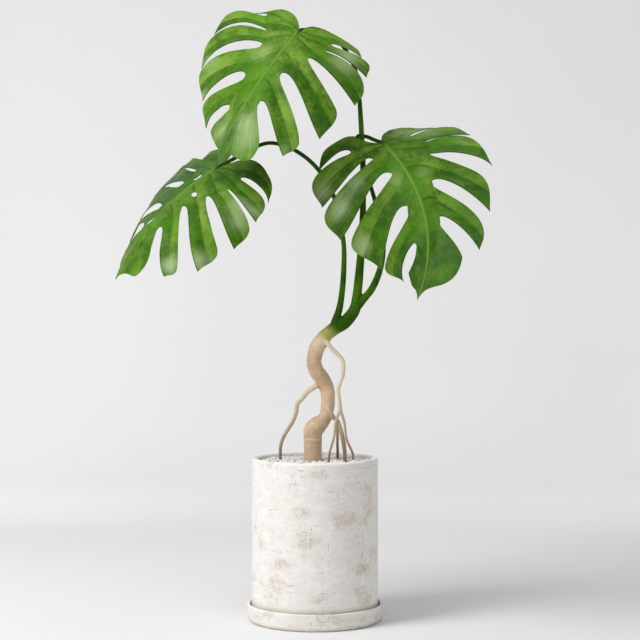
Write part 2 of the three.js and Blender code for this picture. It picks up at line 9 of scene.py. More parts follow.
import bpy
import numpy as np
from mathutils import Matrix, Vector, kdtree, noise


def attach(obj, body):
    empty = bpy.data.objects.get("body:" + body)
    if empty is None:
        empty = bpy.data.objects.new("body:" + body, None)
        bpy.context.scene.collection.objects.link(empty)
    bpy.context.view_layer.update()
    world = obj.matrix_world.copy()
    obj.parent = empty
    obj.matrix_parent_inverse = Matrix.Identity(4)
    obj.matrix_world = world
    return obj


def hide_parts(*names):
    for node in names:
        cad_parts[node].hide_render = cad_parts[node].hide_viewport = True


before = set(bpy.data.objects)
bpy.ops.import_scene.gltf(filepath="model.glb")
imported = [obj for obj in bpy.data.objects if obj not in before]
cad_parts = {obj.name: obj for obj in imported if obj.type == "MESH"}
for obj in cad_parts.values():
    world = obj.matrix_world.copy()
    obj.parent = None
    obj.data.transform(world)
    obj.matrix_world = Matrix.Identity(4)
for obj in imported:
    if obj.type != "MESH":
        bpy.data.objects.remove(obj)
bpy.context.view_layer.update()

MM = 0.001
GAP = 0.3

# Driving dimensions of the saucer, the pot and what fills it, and how finely each is divided.
SAUCER = {"radius": 134, "height": 34, "wall": 5, "floor": 8, "taper": 2, "base_edge": 7, "inner_edge": 4,
          "sides": 200, "step": 5}
POT = {"radius": 125, "height": 312, "wall": 13, "floor": 16, "lip": 5.5, "foot_edge": 3,
       "sides": 240, "step": 5}
SOIL = {"depth": 274, "sides": 120, "step": 6}
GRAVEL_BED = 10

POT_BASE = SAUCER["floor"] + GAP
POT_TOP = POT_BASE + POT["height"]
POT_INNER = POT["radius"] - POT["wall"]
SOIL_BASE = POT_BASE + POT["floor"] + GAP
SOIL_TOP = SOIL_BASE + SOIL["depth"]
GRAVEL_TOP = SOIL_TOP + GAP + GRAVEL_BED

# Pebbles: small stones on a jittered triangular grid. "layers" are heights over the gravel's top,
# "shift" moves the second layer by a share of the pitch, and "clearance" keeps a stone off the
# roots by a share of its size. The other pairs are ranges of random draws, "tilt" in radians.
PEBBLE = {
    "radius": 4.2, "pitch": 7.4, "jitter": 2.2, "lumps": 0.24, "lump_rate": 1.4, "clearance": 0.6, "seed": 5,
    "layers": (-0.5, 4.2), "shift": 0.33, "size": (0.72, 1.12), "narrow": (0.72, 1), "flat": (0.6, 0.85),
    "tilt": (-0.5, 0.5), "rise": (-2.4, 1.2),
}

# The blades: half their thickness, how deep and how steep each finger's channel is, the midrib
# and the neck before it. "rib_mark" is how wide the midrib looks at its two ends, "rib_tone" how
# far from its middle the rib's own colour is taken, as a share of that, and "sharp" is the angle
# in degrees from which an edge looks sharp.
BLADE = {
    "half": 0.6, "channel": 4.5, "channel_slope": 0.13, "channel_start": 0.25, "channel_end": 0.6,
    "rib_radius": 4.0, "rib_end": 1.0, "rib_sunk": 0.6, "rib_share": 0.97, "neck": 16.0,
    "rib_mark": (3.64, 0.84), "rib_tone": 0.8, "sharp": 50,
}

# How the edges of the fingers curve, as shares of an edge's length.
EDGE = {"to_end": 0.35, "round_shoulder": 0.4, "to_tip": 0.3, "web_bend": 0.5}

# Where the lines between fingers leave the midrib: nearer to the base than the cuts that they
# lead to, by "lean" as a share of the cuts' distance across the leaf, and at least "least" apart.
# "last" is where the tip's own edge leaves it, as a share of the way from the last line to the tip.
WEB = {"lean": 0.7, "least": 6.0, "last": 0.35}

# The fingers of each side, and the sign that places across the midrib have there.
FINGERS = 6
SIDES = {"left": -1, "right": 1}

# How finely a finger is divided: rows from the midrib to its cuts, rows on to its end, and
# columns across it. Then the line along which a leaf is bent, from its first to its last share
# of the leaf's length with its number of points, and the midribs, the holes and the tubes.
WEB_ROWS = 9
FREE_ROWS = 27
COLUMNS = 22
SPINE_SHARES = (-0.4, 1.1, 601)
RIB = {"points": 24, "sides": 16, "steps": 3}
PUNCH = {"half_depth": 8, "sides": 40}
TUBE = {"sides": 20, "steps": 8, "voxel": 1.3, "measured_steps": 12}

# Painted light and shade for the fold along each finger: how much lighter the half on the base's side
# is painted, by a wave across it, a sharp change in its middle, and the share of both that the last
# finger keeps.
FOLD_SHADING_PAINT = {"wave": 0.4, "change": 1.2, "last": 0.3}

# What tells leaves and the sides of a leaf apart in soft noise.
APART = {"leaf": 3.7, "station": 20, "ripple": 7}

# A distance at which neither a vein nor a rim is seen any more.
FAR = 20.0

# How uneven the surfaces are: how fast soft noise changes along each axis, and its height. On a
# blade the axes are the fingers' widths, their lengths and a number that tells blades apart.
UNEVEN = {
    "clay_swell": ((0.012, 0.012, 0.012), 0.45),
    "clay_brush": ((0.05, 0.05, 0.16), 0.16),
    "soil_crumbs": ((0.25, 0.25, 0.25), 1.5),
    "bark_fibres": ((0.3, 0.3, 0.04), 0.35),
    "petiole_fibres": ((0.25, 0.25, 0.02), 0.25),
    "blade_ripple": ((2.2, 5, 1), 1.3),
    "blade_quilt": ((7, 16, 1), 0.35),
}
CLAY_SUNK = 0.2

# Centre lines of the stem and its branches: x, y, z and radius at each point.
STEM = [
    (-4, 0, 262, 18), (-4, 0, 307, 18), (-4, 0, 355, 18), (-3, -1, 375, 19), (6, -3, 385, 18.2),
    (15, -4, 393, 15), (22, -3, 404, 13.1), (25, 0, 422, 14), (26, 1, 440, 14.1), (23.5, 3, 457, 14.7),
    (15, 3, 475, 15.3), (3, 1, 492, 15.3), (-2, -2, 510, 14.9), (0, -4, 525, 15.1), (5, -6, 540, 15.5),
    (14, -6, 553, 15), (22, -6, 564, 14),
]
AERIAL_ROOTS = {
    "left": [
        (10, 2, 467, 6), (-13, -2, 452, 5.2), (-26, -4, 437, 4.8), (-35, -6, 427, 4.6), (-37, -6, 411, 4.2),
        (-43.5, -7, 393, 4), (-53, -8, 377, 3.9), (-63, -9, 360, 3.7), (-68, -10, 341, 3.4),
        (-68, -10, 305, 2.8),
    ],
    "front": [
        (14, -14, 556, 6), (24, -19, 548, 5), (34, -20, 536, 4.4), (46, -20, 524, 4.2), (54, -20, 514, 4.2),
        (56, -20, 501, 4.1), (55, -20, 484, 4), (50, -20, 470, 3.9), (46, -20, 456, 3.9), (48, -20, 436, 3.9),
        (50, -20, 416, 4),
    ],
    "front_right_fork": [
        (50, -20, 418, 3.4), (58, -20, 390, 2.8), (63, -19, 356, 2.6), (74, -18, 331, 2.5),
        (76, -18, 306, 2.5),
    ],
    "front_left_fork": [
        (50, -20, 418, 3.4), (41, -23, 392, 2.8), (38, -27, 365, 2.6), (29, -35, 332, 2.5),
        (26, -38, 306, 2.5),
    ],
    "right": [
        (21, -9, 425, 5), (26, -13, 417, 5.2), (32, -13, 408, 4.6), (38, -10, 399, 4.2), (45, -5, 393, 3.8),
        (53, -7, 367, 4.6), (58, -14, 340, 4.2), (60, -22, 306, 3.5),
    ],
    "right_fork": [(46, -5, 394, 3), (45, 6, 370, 3), (45, 22, 343, 3), (46, 38, 306, 3)],
}
PETIOLES = {
    "centre": [
        (19, -6, 561, 13), (40, -5, 577, 13.3), (56, -5, 586, 13), (69, -5, 599, 12.5),
        (79, -5, 615, 11.5), (83, -4, 639, 9.5), (87, -3, 676, 8.7), (91, -2, 722, 7.8),
        (95, 0, 801, 6.5), (95, 0, 910, 5.7), (92, 0, 970, 5.2), (88, 3, 1036, 4.6),
        (83, 6, 1080, 4.2), (74, 8, 1106, 4), (60, 8, 1132, 4), (30, 3, 1160, 4),
        (-4, -11, 1169, 4), (-31, -25, 1162, 4),
    ],
    "left": [
        (38, -5, 583, 8.5), (50, -6, 623, 6.5), (57, -5, 692, 5.5), (56, -3, 752, 4.8),
        (37, 0, 839, 4.6), (10, 2, 887, 4.4), (-20, 2, 917, 4.2), (-55, 1, 937, 4),
        (-89, -2, 944, 4), (-115, -5, 937, 4), (-154, -8, 916, 4), (-193, -13, 893, 4),
    ],
    "right": [
        (77, -5, 611, 9), (97, -5, 635, 7.5), (111, -5, 652, 7.2), (123, -4, 676, 6.8),
        (131, -2, 702, 6.2), (135, 1, 736, 5.6), (129, 6, 788, 4.8), (119, 10, 832, 4.4),
        (100, 16, 892, 4), (84, 20, 937, 4), (81, 20, 951, 4.5), (87, 19, 960, 4.5),
        (102, 10, 958, 4), (117, -12, 949, 4), (133, -42, 939, 4),
    ],
}

# Leaf scars up the stem: their distances along it, and the lip and the dip beyond it at each.
STEM_RINGS = (94, 150, 196, 238, 282, 318)
RING = {"lip": 0.55, "lip_width": 1.6, "dip": 0.3, "dip_width": 1.8, "dip_after": 3.5}

# A point this many stem radii from the stem's centre line belongs to a root.
ROOT_START = 1.3

# The height of the pale scar low on the stem, the stem's upper end and the way it points there,
# where tan turns to green, and the place where the petioles part.
LOW_SCAR = 357
CROWN = Vector(STEM[-1][:3])
CROWN_UP = (CROWN - Vector(STEM[-2][:3])).normalized()
FORK = Vector(PETIOLES["centre"][2][:3])


def finger(shoulder, tip, cut=None, **edges):
    return {"shoulder": shoulder, "tip": tip, "cut": cut, **edges}


# A leaf is drawn flat and then bent, and places in it are (along the midrib, across from it).
# The bend turns the flat leaf: angles are degrees at the petiole, and droop, turn and twist
# are what the midrib adds on its way to the tip, the second value growing with the square.
# A side of the blade rises by its "fold" from the midrib, and hangs down round its "curl".
# Each finger has a rounded shoulder, a pointed tip and, on the tip's side, a cut to its inner
# end. Its edge on the base's side is "basal", the other is "apical": how far the edge first
# runs square to the cut, and how much it is drawn in near its end, as a share of its length.
# The first finger has its "lobe" instead, and the last its "margin", as two control points.
LEAVES = {
    "leaf_left": {
        "length": 303,
        "stalk": "left",
        "bend": {"heading": -72, "pitch": 31, "roll": -14, "droop": (31, 10), "turn": (-9, 2), "twist": 14},
        "left": {
            "fold": 3, "curl": 800, "holes": [((40, 19), (20, 22), 15), ((169, 16), (30, 17), 46)],
            "fingers": [
                finger((-44, 129), (-12, 112), (-13, 95), lobe=((-36, 11), (-90, 54)), apical=(6, 0.05)),
                finger((-17, 180), (25, 190), (26, 62), basal=(4, 0.06), apical=(6, 0.05)),
                finger((13, 181), (106, 212), (67, 43), basal=(10, 0.18), apical=(18, 0.11)),
                finger((104, 215), (179, 179), (132, 30), basal=(30, -0.13), apical=(11, 0.24)),
                finger((198, 185), (238, 170), (187, 30), basal=(25, -0.05), apical=(19, 0.26)),
                finger((250, 75), (303, 0), basal=(20, -0.25), margin=((300, 84), (278, 54))),
            ],
        },
        "right": {
            "fold": -2, "curl": 156, "holes": [((75, 39), (17, 11), 80)],
            "fingers": [
                finger((-60, 110), (-27, 152), (-16, 73), lobe=((-28, 18), (-84, 12)), apical=(6, 0.3)),
                finger((-23, 143), (19, 174), (22, 84), basal=(13, -0.12), apical=(6, -0.01)),
                finger((37, 175), (96, 198), (62, 70), basal=(4, -0.12), apical=(16, 0.01)),
                finger((122, 177), (190, 187), (109, 50), basal=(8, -0.01), apical=(26, -0.01)),
                finger((213, 155), (240, 145), (168, 49), basal=(5, -0.08), apical=(24, -0.09)),
                finger((244, 93), (303, 0), basal=(12, -0.13), margin=((298, 87), (252, 70))),
            ],
        },
    },
    "leaf_top": {
        "length": 307,
        "stalk": "centre",
        "bend": {"heading": -43, "pitch": 42, "roll": -21, "droop": (24, 17), "turn": (-5, -9), "twist": 25},
        "left": {
            "fold": -2, "curl": 1100, "holes": [],
            "fingers": [
                finger((-54, 77), (-32, 126), (-32, 97), lobe=((-33, 18), (-60, 50)), apical=(12, -0.02)),
                finger((-27, 190), (29, 201), (10, 71), basal=(17, -0.28), apical=(0, 0.44)),
                finger((40, 203), (120, 197), (52, 58), basal=(11, -0.42), apical=(16, 0.47)),
                finger((121, 194), (207, 160), (139, 47), basal=(30, -0.3), apical=(41, 0.25)),
                finger((214, 151), (276, 118), (211, 48), basal=(22, -0.15), apical=(11, 0.31)),
                finger((278, 85), (307, 0), basal=(27, -0.12), margin=((297, 69), (302, 27))),
            ],
        },
        "right": {
            "fold": -2, "curl": 205, "holes": [],
            "fingers": [
                finger((-32, 118), (-21, 135), (0, 74), lobe=((-27, 22), (-24, 8)), apical=(3, 0.1)),
                finger((-23, 148), (14, 170), (26, 75), basal=(13, -0.05), apical=(8, 0.07)),
                finger((50, 184), (99, 191), (62, 60), basal=(5, -0.43), apical=(11, 0.04)),
                finger((133, 165), (207, 180), (119, 34), basal=(11, 0.01), apical=(26, -0.01)),
                finger((231, 153), (265, 144), (190, 32), basal=(18, -0.06), apical=(20, -0.03)),
                finger((268, 91), (307, 0), basal=(14, -0.02), margin=((321, 101), (292, 57))),
            ],
        },
    },
    "leaf_right": {
        "length": 373,
        "stalk": "right",
        "bend": {"heading": 38, "pitch": 34, "roll": 26, "droop": (50, -22), "turn": (-20, -37), "twist": 35},
        "left": {
            "fold": -8, "curl": 240, "holes": [],
            "fingers": [
                finger((-81, 85), (-52, 131), (-27, 60), lobe=((-45, 54), (-78, -8)), apical=(27, 0.15)),
                finger((-49, 148), (18, 177), (23, 38), basal=(8, -0.17), apical=(27, -0.09)),
                finger((33, 174), (120, 193), (82, 26), basal=(8, -0.05), apical=(50, -0.17)),
                finger((146, 165), (272, 138), (168, 27), basal=(9, 0), apical=(42, -0.01)),
                finger((265, 120), (328, 67), (251, 30), basal=(24, 0), apical=(1, 0.45)),
                finger((313, 49), (378, 0), basal=(13, 0.15), margin=((367, 30), (333, 32))),
            ],
        },
        "right": {
            "fold": -8, "curl": 1250, "holes": [],
            "fingers": [
                finger((-53, 78), (-34, 147), (-4, 68), lobe=((-34, 6), (-53, 63)), apical=(5, 0.05)),
                finger((-36, 188), (32, 186), (26, 80), basal=(8, -0.12), apical=(0, 0.21)),
                finger((31, 166), (131, 162), (66, 65), basal=(9, -0.25), apical=(0, 0.36)),
                finger((141, 127), (220, 121), (133, 35), basal=(8, -0.05), apical=(27, 0.09)),
                finger((245, 104), (286, 99), (212, 27), basal=(24, -0.12), apical=(12, 0.05)),
                finger((296, 68), (378, 0), basal=(21, 0), margin=((367, 73), (331, 7))),
            ],
        },
    },
}

# Patches of painted sheen and shade on the upper face of each side of a leaf: (along, across), radius
# and strength, which is above 0 for a pale, dull painted sheen and below 0 for a deeper green of
# painted shade.
SHEEN_AND_SHADE_PATCHES = {
    "leaf_left": {
        "left": [((60, 110), 150, -1.0)],
        "right": [((27, 130), 22, 0.7), ((51, 156), 17, 0.6), ((6, 156), 15, 0.5), ((168, 174), 19, 0.7),
                  ((214, 138), 17, 0.9), ((10, 30), 45, -0.7), ((-50, 80), 45, -0.6)],
    },
    "leaf_top": {
        "left": [((268, 38), 26, 0.45), ((75, 45), 20, 0.35), ((192, 165), 14, 0.5), ((98, 189), 12, 0.4),
                 ((105, 168), 22, 0.35), ((60, 150), 30, -0.3)],
        "right": [((262, 55), 28, 0.6), ((236, 27), 20, 0.6), ((21, 120), 28, 0.6), ((-3, 112), 22, 0.5),
                  ((255, 138), 12, 0.3), ((175, 150), 35, -0.5)],
    },
    "leaf_right": {
        "left": [((60, 147), 24, 1.0), ((45, 92), 18, 0.6), ((-8, 155), 22, 0.7), ((183, 155), 26, 0.8),
                 ((285, 105), 20, 0.6), ((99, 27), 16, 0.4), ((325, 45), 95, -1.0), ((150, 60), 50, -0.4)],
        "right": [((-18, 78), 30, 0.6), ((108, 33), 18, 0.4), ((318, 34), 22, 0.6), ((51, 150), 20, 0.3),
                  ((-9, 120), 22, 0.4), ((315, 45), 95, -1.0), ((150, 110), 70, -0.6), ((40, 90), 40, -0.4)],
    },
}

# Oval marks on the clay, each by degrees round from the front, height, width, height across and
# strength: where the limewash is rubbed thin, and where it has run down in drips.
WEAR = {
    "rubbed": [
        (1, 296, 50, 24, 0.7), (-12, 226, 46, 26, 0.8), (-5, 171, 56, 30, 1.0), (-31, 127, 46, 22, 0.9),
        (-37, 84, 42, 28, 1.0), (1, 61, 52, 26, 0.7), (28, 211, 46, 36, 0.9), (56, 244, 44, 70, 0.8),
        (-57, 160, 34, 26, 0.7), (51, 63, 44, 34, 0.8), (-50, 312, 50, 16, 0.6), (46, 113, 50, 24, 1.0),
        (-60, 18, 60, 20, 0.6), (-15, 12, 60, 14, 0.5), (35, 20, 90, 26, 0.6), (70, 16, 60, 30, 0.8),
        (100, 190, 60, 50, 0.8), (140, 90, 56, 36, 1.0), (175, 240, 60, 40, 0.8), (-100, 90, 50, 34, 0.9),
        (-130, 260, 60, 36, 0.9), (-160, 150, 56, 40, 0.8),
    ],
    "drips": [
        (50, 130, 60, 60, 1.0), (60, 235, 30, 50, 0.5), (150, 120, 50, 60, 0.9), (-120, 180, 46, 60, 0.8),
    ],
}

# The green where the stem ends, which its bark and the petioles share.
CROWN_GREEN = (0.400, 0.430, 0.100)

# The studio, in metres and watts: a floor that bends up into a wall, the lights and the camera.
SWEEP = {"front": -4.5, "bend_start": 2.5, "radius": 1.5, "top": 5.0, "half_width": 6.0}
LIGHTS = {
    "key_left": {"at": (-2.2, -1.36, 3.29), "target": (0, 0, 0.4), "size": (1.3, 3.2), "power": 130},
    "backdrop_left": {"at": (-1.8, 1.5, 1.5), "target": (-2.1, 3.7, 0.8), "size": (2.4, 1.4), "power": 16},
    "backdrop_right": {"at": (1.8, 1.5, 1.5), "target": (1.9, 3.7, 0.8), "size": (2.4, 1.4), "power": 11},
}
AIR_LIGHT = 0.56
CAMERA = {"at": (0.010, -2.976, 0.593), "lens": 84.375, "sensor_width": 36}


# Meshes and pieces.

def set_numbers(obj, numbers):
    """Stores named numbers on the points of obj, for its material."""
    for key, values in numbers.items():
        layer = obj.data.attributes.new(key, "FLOAT", "POINT")
        layer.data.foreach_set("value", np.asarray(values, dtype=np.float32))


def mesh_object(name, vertices, faces, numbers=None):
    """A mesh object from points in millimetres, with named numbers for each point."""
    mesh = bpy.data.meshes.new(name)
    mesh.from_pydata((np.asarray(vertices) * MM).tolist(), [], faces)
    mesh.shade_smooth()
    obj = bpy.data.objects.new(name, mesh)
    bpy.context.scene.collection.objects.link(obj)
    set_numbers(obj, numbers or {})
    return obj


def settle(obj):
    """Gives obj the mesh that its modifiers make, and removes them."""
    depsgraph = bpy.context.evaluated_depsgraph_get()
    obj.data = bpy.data.meshes.new_from_object(obj.evaluated_get(depsgraph))
    obj.modifiers.clear()


def declare(obj, node, material):
    """Gives a piece of the plant its material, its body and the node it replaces."""
    obj.data.materials.clear()
    obj.data.materials.append(material)
    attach(obj, "root")
    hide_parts(node)


def read_points(obj, key="co"):
    """The places, or with "normal" the normals, of all points of obj as rows of a table."""
    table = np.empty(3 * len(obj.data.vertices), dtype=np.float32)
    obj.data.vertices.foreach_get(key, table)
    return table.reshape(-1, 3).astype(float)


def lift_points(obj, lifts):
    """Moves each point of obj along its normal, in millimetres."""
    moved = read_points(obj) + read_points(obj, "normal") * np.asarray(lifts)[:, None] * MM
    obj.data.vertices.foreach_set("co", moved.astype(np.float32).ravel())
    obj.data.update()


def relief(obj, height):
    """Moves each point of obj along its normal by height(point in mm), in millimetres."""
    lift_points(obj, [height(Vector(point)) for point in read_points(obj) / MM])


def uneven(kind, point):
    """How far a surface rises at a point, by the soft noise of its kind."""
    rates, height = UNEVEN[kind]
    return height * noise.noise(Vector([place * rate for place, rate in zip(point, rates)]))


def bands(first, rings, sides):
    """Four-sided faces between rings of points, which are numbered on from first."""
    ring_starts = range(first, first + (rings - 1) * sides, sides)
    pairs = [(i, (i + 1) % sides) for i in range(sides)]
    return [(low + i, low + j, low + sides + j, low + sides + i) for low in ring_starts for i, j in pairs]


# Turned pieces: saucer, pot and soil.

def arc(centre_r, centre_z, radius, start, end, steps):
    """Points of an arc between two angles, in degrees."""
    angles = np.radians(np.linspace(start, end, steps + 1))
    return [(centre_r + radius * math.cos(a), centre_z + radius * math.sin(a)) for a in angles]


def divided(profile, step):
    """The profile with points added so that none are further apart than step."""
    result = [profile[0]]
    for start, end in zip(profile, profile[1:]):
        count = max(1, math.ceil(math.dist(start, end) / step))
        for i in range(1, count + 1):
            share = i / count
            result.append((start[0] + (end[0] - start[0]) * share, start[1] + (end[1] - start[1]) * share))
    return result


def turned(name, profile, sides):
    """A closed solid of revolution. The profile runs from the axis to the axis."""
    rings = profile[1:-1]
    angles = 2 * math.pi * np.arange(sides) / sides
    vertices = [(0, 0, profile[0][1]), (0, 0, profile[-1][1])]
    for radius, z in rings:
        vertices += [(radius * math.cos(a), radius * math.sin(a), z) for a in angles]
    faces = bands(2, len(rings), sides)
    last = 2 + (len(rings) - 1) * sides
    for i in range(sides):
        j = (i + 1) % sides
        faces += [(0, 2 + j, 2 + i), (1, last + i, last + j)]
    return mesh_object(name, vertices, faces)


def hand_finish(obj, foot):
    """Makes a clay wall slightly uneven above the height of its foot."""
    def rise(point):
        if point.z <= foot:
            return 0.0
        return uneven("clay_swell", point) + uneven("clay_brush", point) - CLAY_SUNK

    relief(obj, rise)


def wear_at(points, angles, marks):
    """How strongly points of a turned piece are worn, by a list of oval marks."""
    wear = np.zeros(len(points))
    for degrees, height, wide, high, strength in marks:
        apart = (np.degrees(angles) - degrees + 180) % 360 - 180
        across = np.radians(apart) * POT["radius"] / (0.5 * wide)
        up = (points[:, 2] - height) / (0.5 * high)
        wear = np.maximum(wear, strength * np.exp(-across ** 2 - up ** 2))
    return wear


def mark_clay(obj):
    """Numbers for the clay material: the wear, and the way round the pot in metres."""
    points = read_points(obj) / MM
    angles = np.arctan2(points[:, 0], -points[:, 1])
    set_numbers(obj, {key: wear_at(points, angles, marks) for key, marks in WEAR.items()})
    set_numbers(obj, {"around": angles * POT["radius"] * MM})
    return obj


def make_saucer():
    radius, height, floor = SAUCER["radius"], SAUCER["height"], SAUCER["floor"]
    lip = SAUCER["wall"] / 2
    inner = radius - SAUCER["wall"]
    edge = SAUCER["base_edge"]
    inside = SAUCER["inner_edge"]
    profile = [(0, 0)]
    profile += arc(radius - SAUCER["taper"] - edge, edge, edge, -90, 0, 10)
    profile += arc(radius - lip, height - lip, lip, 0, 180, 14)
    profile += arc(inner - inside, floor + inside, inside, 0, -90, 6)
    profile += [(0, floor)]
    obj = turned("saucer_finished", divided(profile, SAUCER["step"]), SAUCER["sides"])
    hand_finish(obj, edge)
    return mark_clay(obj)


def make_pot():
    radius, lip, foot = POT["radius"], POT["lip"], POT["foot_edge"]
    floor = POT_BASE + POT["floor"]
    profile = [(0, POT_BASE)]
    profile += arc(radius - foot, POT_BASE + foot, foot, -90, 0, 5)
    profile += arc(radius - lip, POT_TOP - lip, lip, 0, 90, 8)
    profile += arc(POT_INNER + lip, POT_TOP - lip, lip, 90, 180, 8)
    profile += [(POT_INNER, floor), (0, floor)]
    obj = turned("pot_finished", divided(profile, POT["step"]), POT["sides"])
    hand_finish(obj, POT_BASE + foot)
    return mark_clay(obj)


def make_soil():
    radius = POT_INNER - GAP
    profile = [(0, SOIL_BASE), (radius, SOIL_BASE), (radius, SOIL_TOP), (0, SOIL_TOP)]
    obj = turned("soil_crumbly", divided(profile, SOIL["step"]), SOIL["sides"])
    depth = UNEVEN["soil_crumbs"][1]
    relief(obj, lambda p: uneven("soil_crumbs", p) - depth if p.z > SOIL_TOP - 1 else 0.0)
    return obj


# Tubes: stem, roots and petioles.

def smooth_path(path, steps):
    """Points of a centripetal Catmull-Rom curve through a path of x, y, z and radius."""
    points = np.array(path, dtype=float)
    points = np.vstack([2 * points[0] - points[1], points, 2 * points[-1] - points[-2]])
    points[0, 3], points[-1, 3] = path[0][3], path[-1][3]
    result = []
    for i in range(1, len(points) - 2):
        p0, p1, p2, p3 = points[i - 1:i + 3]
        d0, d1, d2 = [math.sqrt(math.dist(a[:3], b[:3])) for a, b in ((p0, p1), (p1, p2), (p2, p3))]
        m1 = ((p1 - p0) / d0 - (p2 - p0) / (d0 + d1) + (p2 - p1) / d1) * d1
        m2 = ((p2 - p1) / d1 - (p3 - p1) / (d1 + d2) + (p3 - p2) / d2) * d1
        for t in np.arange(steps) / steps:
            spline = 2 * p1 - 2 * p2 + m1 + m2
            curve = -3 * p1 + 3 * p2 - 2 * m1 - m2
            result.append(p1 + m1 * t + curve * t ** 2 + spline * t ** 3)
    result.append(points[-2])
    return np.array(result)


def tube(path, sides, steps):
    """Points and faces of a round tube with flat ends along a path."""
    line = smooth_path(path, steps)
    tangents = np.gradient(line[:, :3], axis=0)
    vertices = []
    # The first spoke is square to the path, from a direction in which no path starts.
    spoke = Vector(tangents[0]).cross(Vector((0.3, 1, 0.1))).normalized()
    previous = Vector(tangents[0]).normalized()
    for point, direction in zip(line, tangents):
        tangent = Vector(direction).normalized()
        spoke = previous.rotation_difference(tangent) @ spoke
        spoke = (spoke - tangent * spoke.dot(tangent)).normalized()
        aside = tangent.cross(spoke)
        previous = tangent
        for side in range(sides):
            angle = 2 * math.pi * side / sides
            offset = (spoke * math.cos(angle) + aside * math.sin(angle)) * point[3]
            vertices.append(Vector(point[:3]) + offset)
    last = (len(line) - 1) * sides
    ends = [tuple(reversed(range(sides))), tuple(range(last, last + sides))]
    return [tuple(v) for v in vertices], bands(0, len(line), sides) + ends


def grown_together(name, paths, smoothing):
    """One smooth body of several tubes, rounded where they branch."""
    vertices, faces = [], []
    for path in paths:
        more, around = tube(path, TUBE["sides"], TUBE["steps"])
        faces += [tuple(i + len(vertices) for i in face) for face in around]
        vertices += more
    obj = mesh_object(name, vertices, faces)
    remesh = obj.modifiers.new("fuse", "REMESH")
    remesh.mode = "VOXEL"
    remesh.voxel_size = TUBE["voxel"] * MM
    soften = obj.modifiers.new("soften", "SMOOTH")
    soften.factor = 0.5
    soften.iterations = smoothing
    settle(obj)
    obj.data.shade_smooth()
    return obj


def against_path(obj, path):
    """For each point of obj: how far up the path the nearest place is, in millimetres, and how
    far off the path the point lies, as a share of the path's radius there."""
    line = smooth_path(path, TUBE["measured_steps"])
    lengths = np.concatenate([[0], np.cumsum(np.linalg.norm(np.diff(line[:, :3], axis=0), axis=1))])
    tree = kdtree.KDTree(len(line))
    for index, point in enumerate(line[:, :3]):
        tree.insert(point, index)
    tree.balance()
    found = [tree.find(point)[1:] for point in read_points(obj) / MM]
    nearest = np.array([index for index, away in found])
    return lengths[nearest], np.array([away for index, away in found]) / line[nearest, 3]


def ring_rise(reach):
    """How far the bark rises at distances up the stem: a lip and a dip at each leaf scar."""
    rise = np.zeros(len(reach))
    for ring in STEM_RINGS:
        rise += RING["lip"] * np.exp(-((reach - ring) / RING["lip_width"]) ** 2)
        rise -= RING["dip"] * np.exp(-((reach - ring - RING["dip_after"]) / RING["dip_width"]) ** 2)
    return rise


def make_stem():
    obj = grown_together("stem_and_roots", [STEM, *AERIAL_ROOTS.values()], smoothing=5)
    reach, off_stem = against_path(obj, STEM)
    set_numbers(obj, {"off_stem": off_stem})
    rise = np.where(off_stem > ROOT_START, 0, ring_rise(reach))
    fibres = [uneven("bark_fibres", point) for point in read_points(obj) / MM]
    lift_points(obj, rise + fibres)
    return obj


def neck_start(path, clearance):
    """The point where a petiole ends and the leaf's own neck takes over."""
    end, before = Vector(path[-1][:3]), Vector(path[-2][:3])
    share = (BLADE["neck"] - clearance) / (end - before).length
    return (*end.lerp(before, share), path[-1][3])


def make_petioles():
    paths = [[*path[:-1], neck_start(path, 0)] for path in PETIOLES.values()]
    obj = grown_together("petioles_grown", paths, smoothing=4)
    places = [against_path(obj, path) for path in paths]
    nearest = np.argmin([off for reach, off in places], axis=0)
    to_leaf = np.array([reach.max() - reach for reach, off in places])
    set_numbers(obj, {"to_leaf": to_leaf[nearest, np.arange(len(nearest))]})
    relief(obj, lambda p: uneven("petiole_fibres", p))
    return obj


# Leaves.

def bezier(start, near_start, near_end, end, count):
    """Points of a cubic curve, from its two ends and two control points."""
    start, near_start, near_end, end = map(np.asarray, (start, near_start, near_end, end))
    t = np.linspace(0, 1, count + 1)[:, None]
    return (
        start * (1 - t) ** 3 + 3 * near_start * t * (1 - t) ** 2
        + 3 * near_end * t ** 2 * (1 - t) + end * t ** 3
    )


def unit(vector):
    return vector / np.linalg.norm(vector)


def cut_frame(fingers, index):
    """The direction of a cut away from the midrib, and square to it towards the leaf's tip."""
    mouth = (np.array(fingers[index]["tip"]) + np.array(fingers[index + 1]["shoulder"])) / 2
    out = unit(mouth - fingers[index]["cut"])
    square = np.array([out[1], -out[0]])
    return out, square if square[0] > 0 else -square


def web(rib, cut, out):
    """The line between two fingers from the midrib, which runs into their cut."""
    near_cut = cut - out * EDGE["web_bend"] * np.linalg.norm(cut - rib)
    return bezier(rib, (rib + near_cut) / 2, near_cut, cut, WEB_ROWS)


def cut_edge(rib, cut, frame_of_cut, towards, end, shape):
    """A finger's edge from the midrib to the inner end of a cut, and along the cut to end."""
    out, square = frame_of_cut
    first, pinch = shape
    cut, end = np.array(cut, dtype=float), np.array(end, dtype=float)
    length = np.linalg.norm(end - cut)
    straight = (end - cut) / length
    inward = towards * unit(square - straight * square.dot(straight))
    near_end = end - straight * EDGE["to_end"] * length + inward * pinch * length
    free = bezier(cut, cut + towards * square * first, near_end, end, FREE_ROWS)
    return np.vstack([web(rib, cut, out), free[1:]]), near_end


def basal_edge(fingers, index, rib):
    """The edge on the base's side, and the control point before the shoulder."""
    shoulder = fingers[index]["shoulder"]
    if index == 0:
        near_notch, near_shoulder = fingers[0]["lobe"]
        return bezier((0, 0), near_notch, near_shoulder, shoulder, WEB_ROWS + FREE_ROWS), near_shoulder
    before = fingers[index - 1]["cut"]
    return cut_edge(rib, before, cut_frame(fingers, index - 1), 1, shoulder, fingers[index]["basal"])


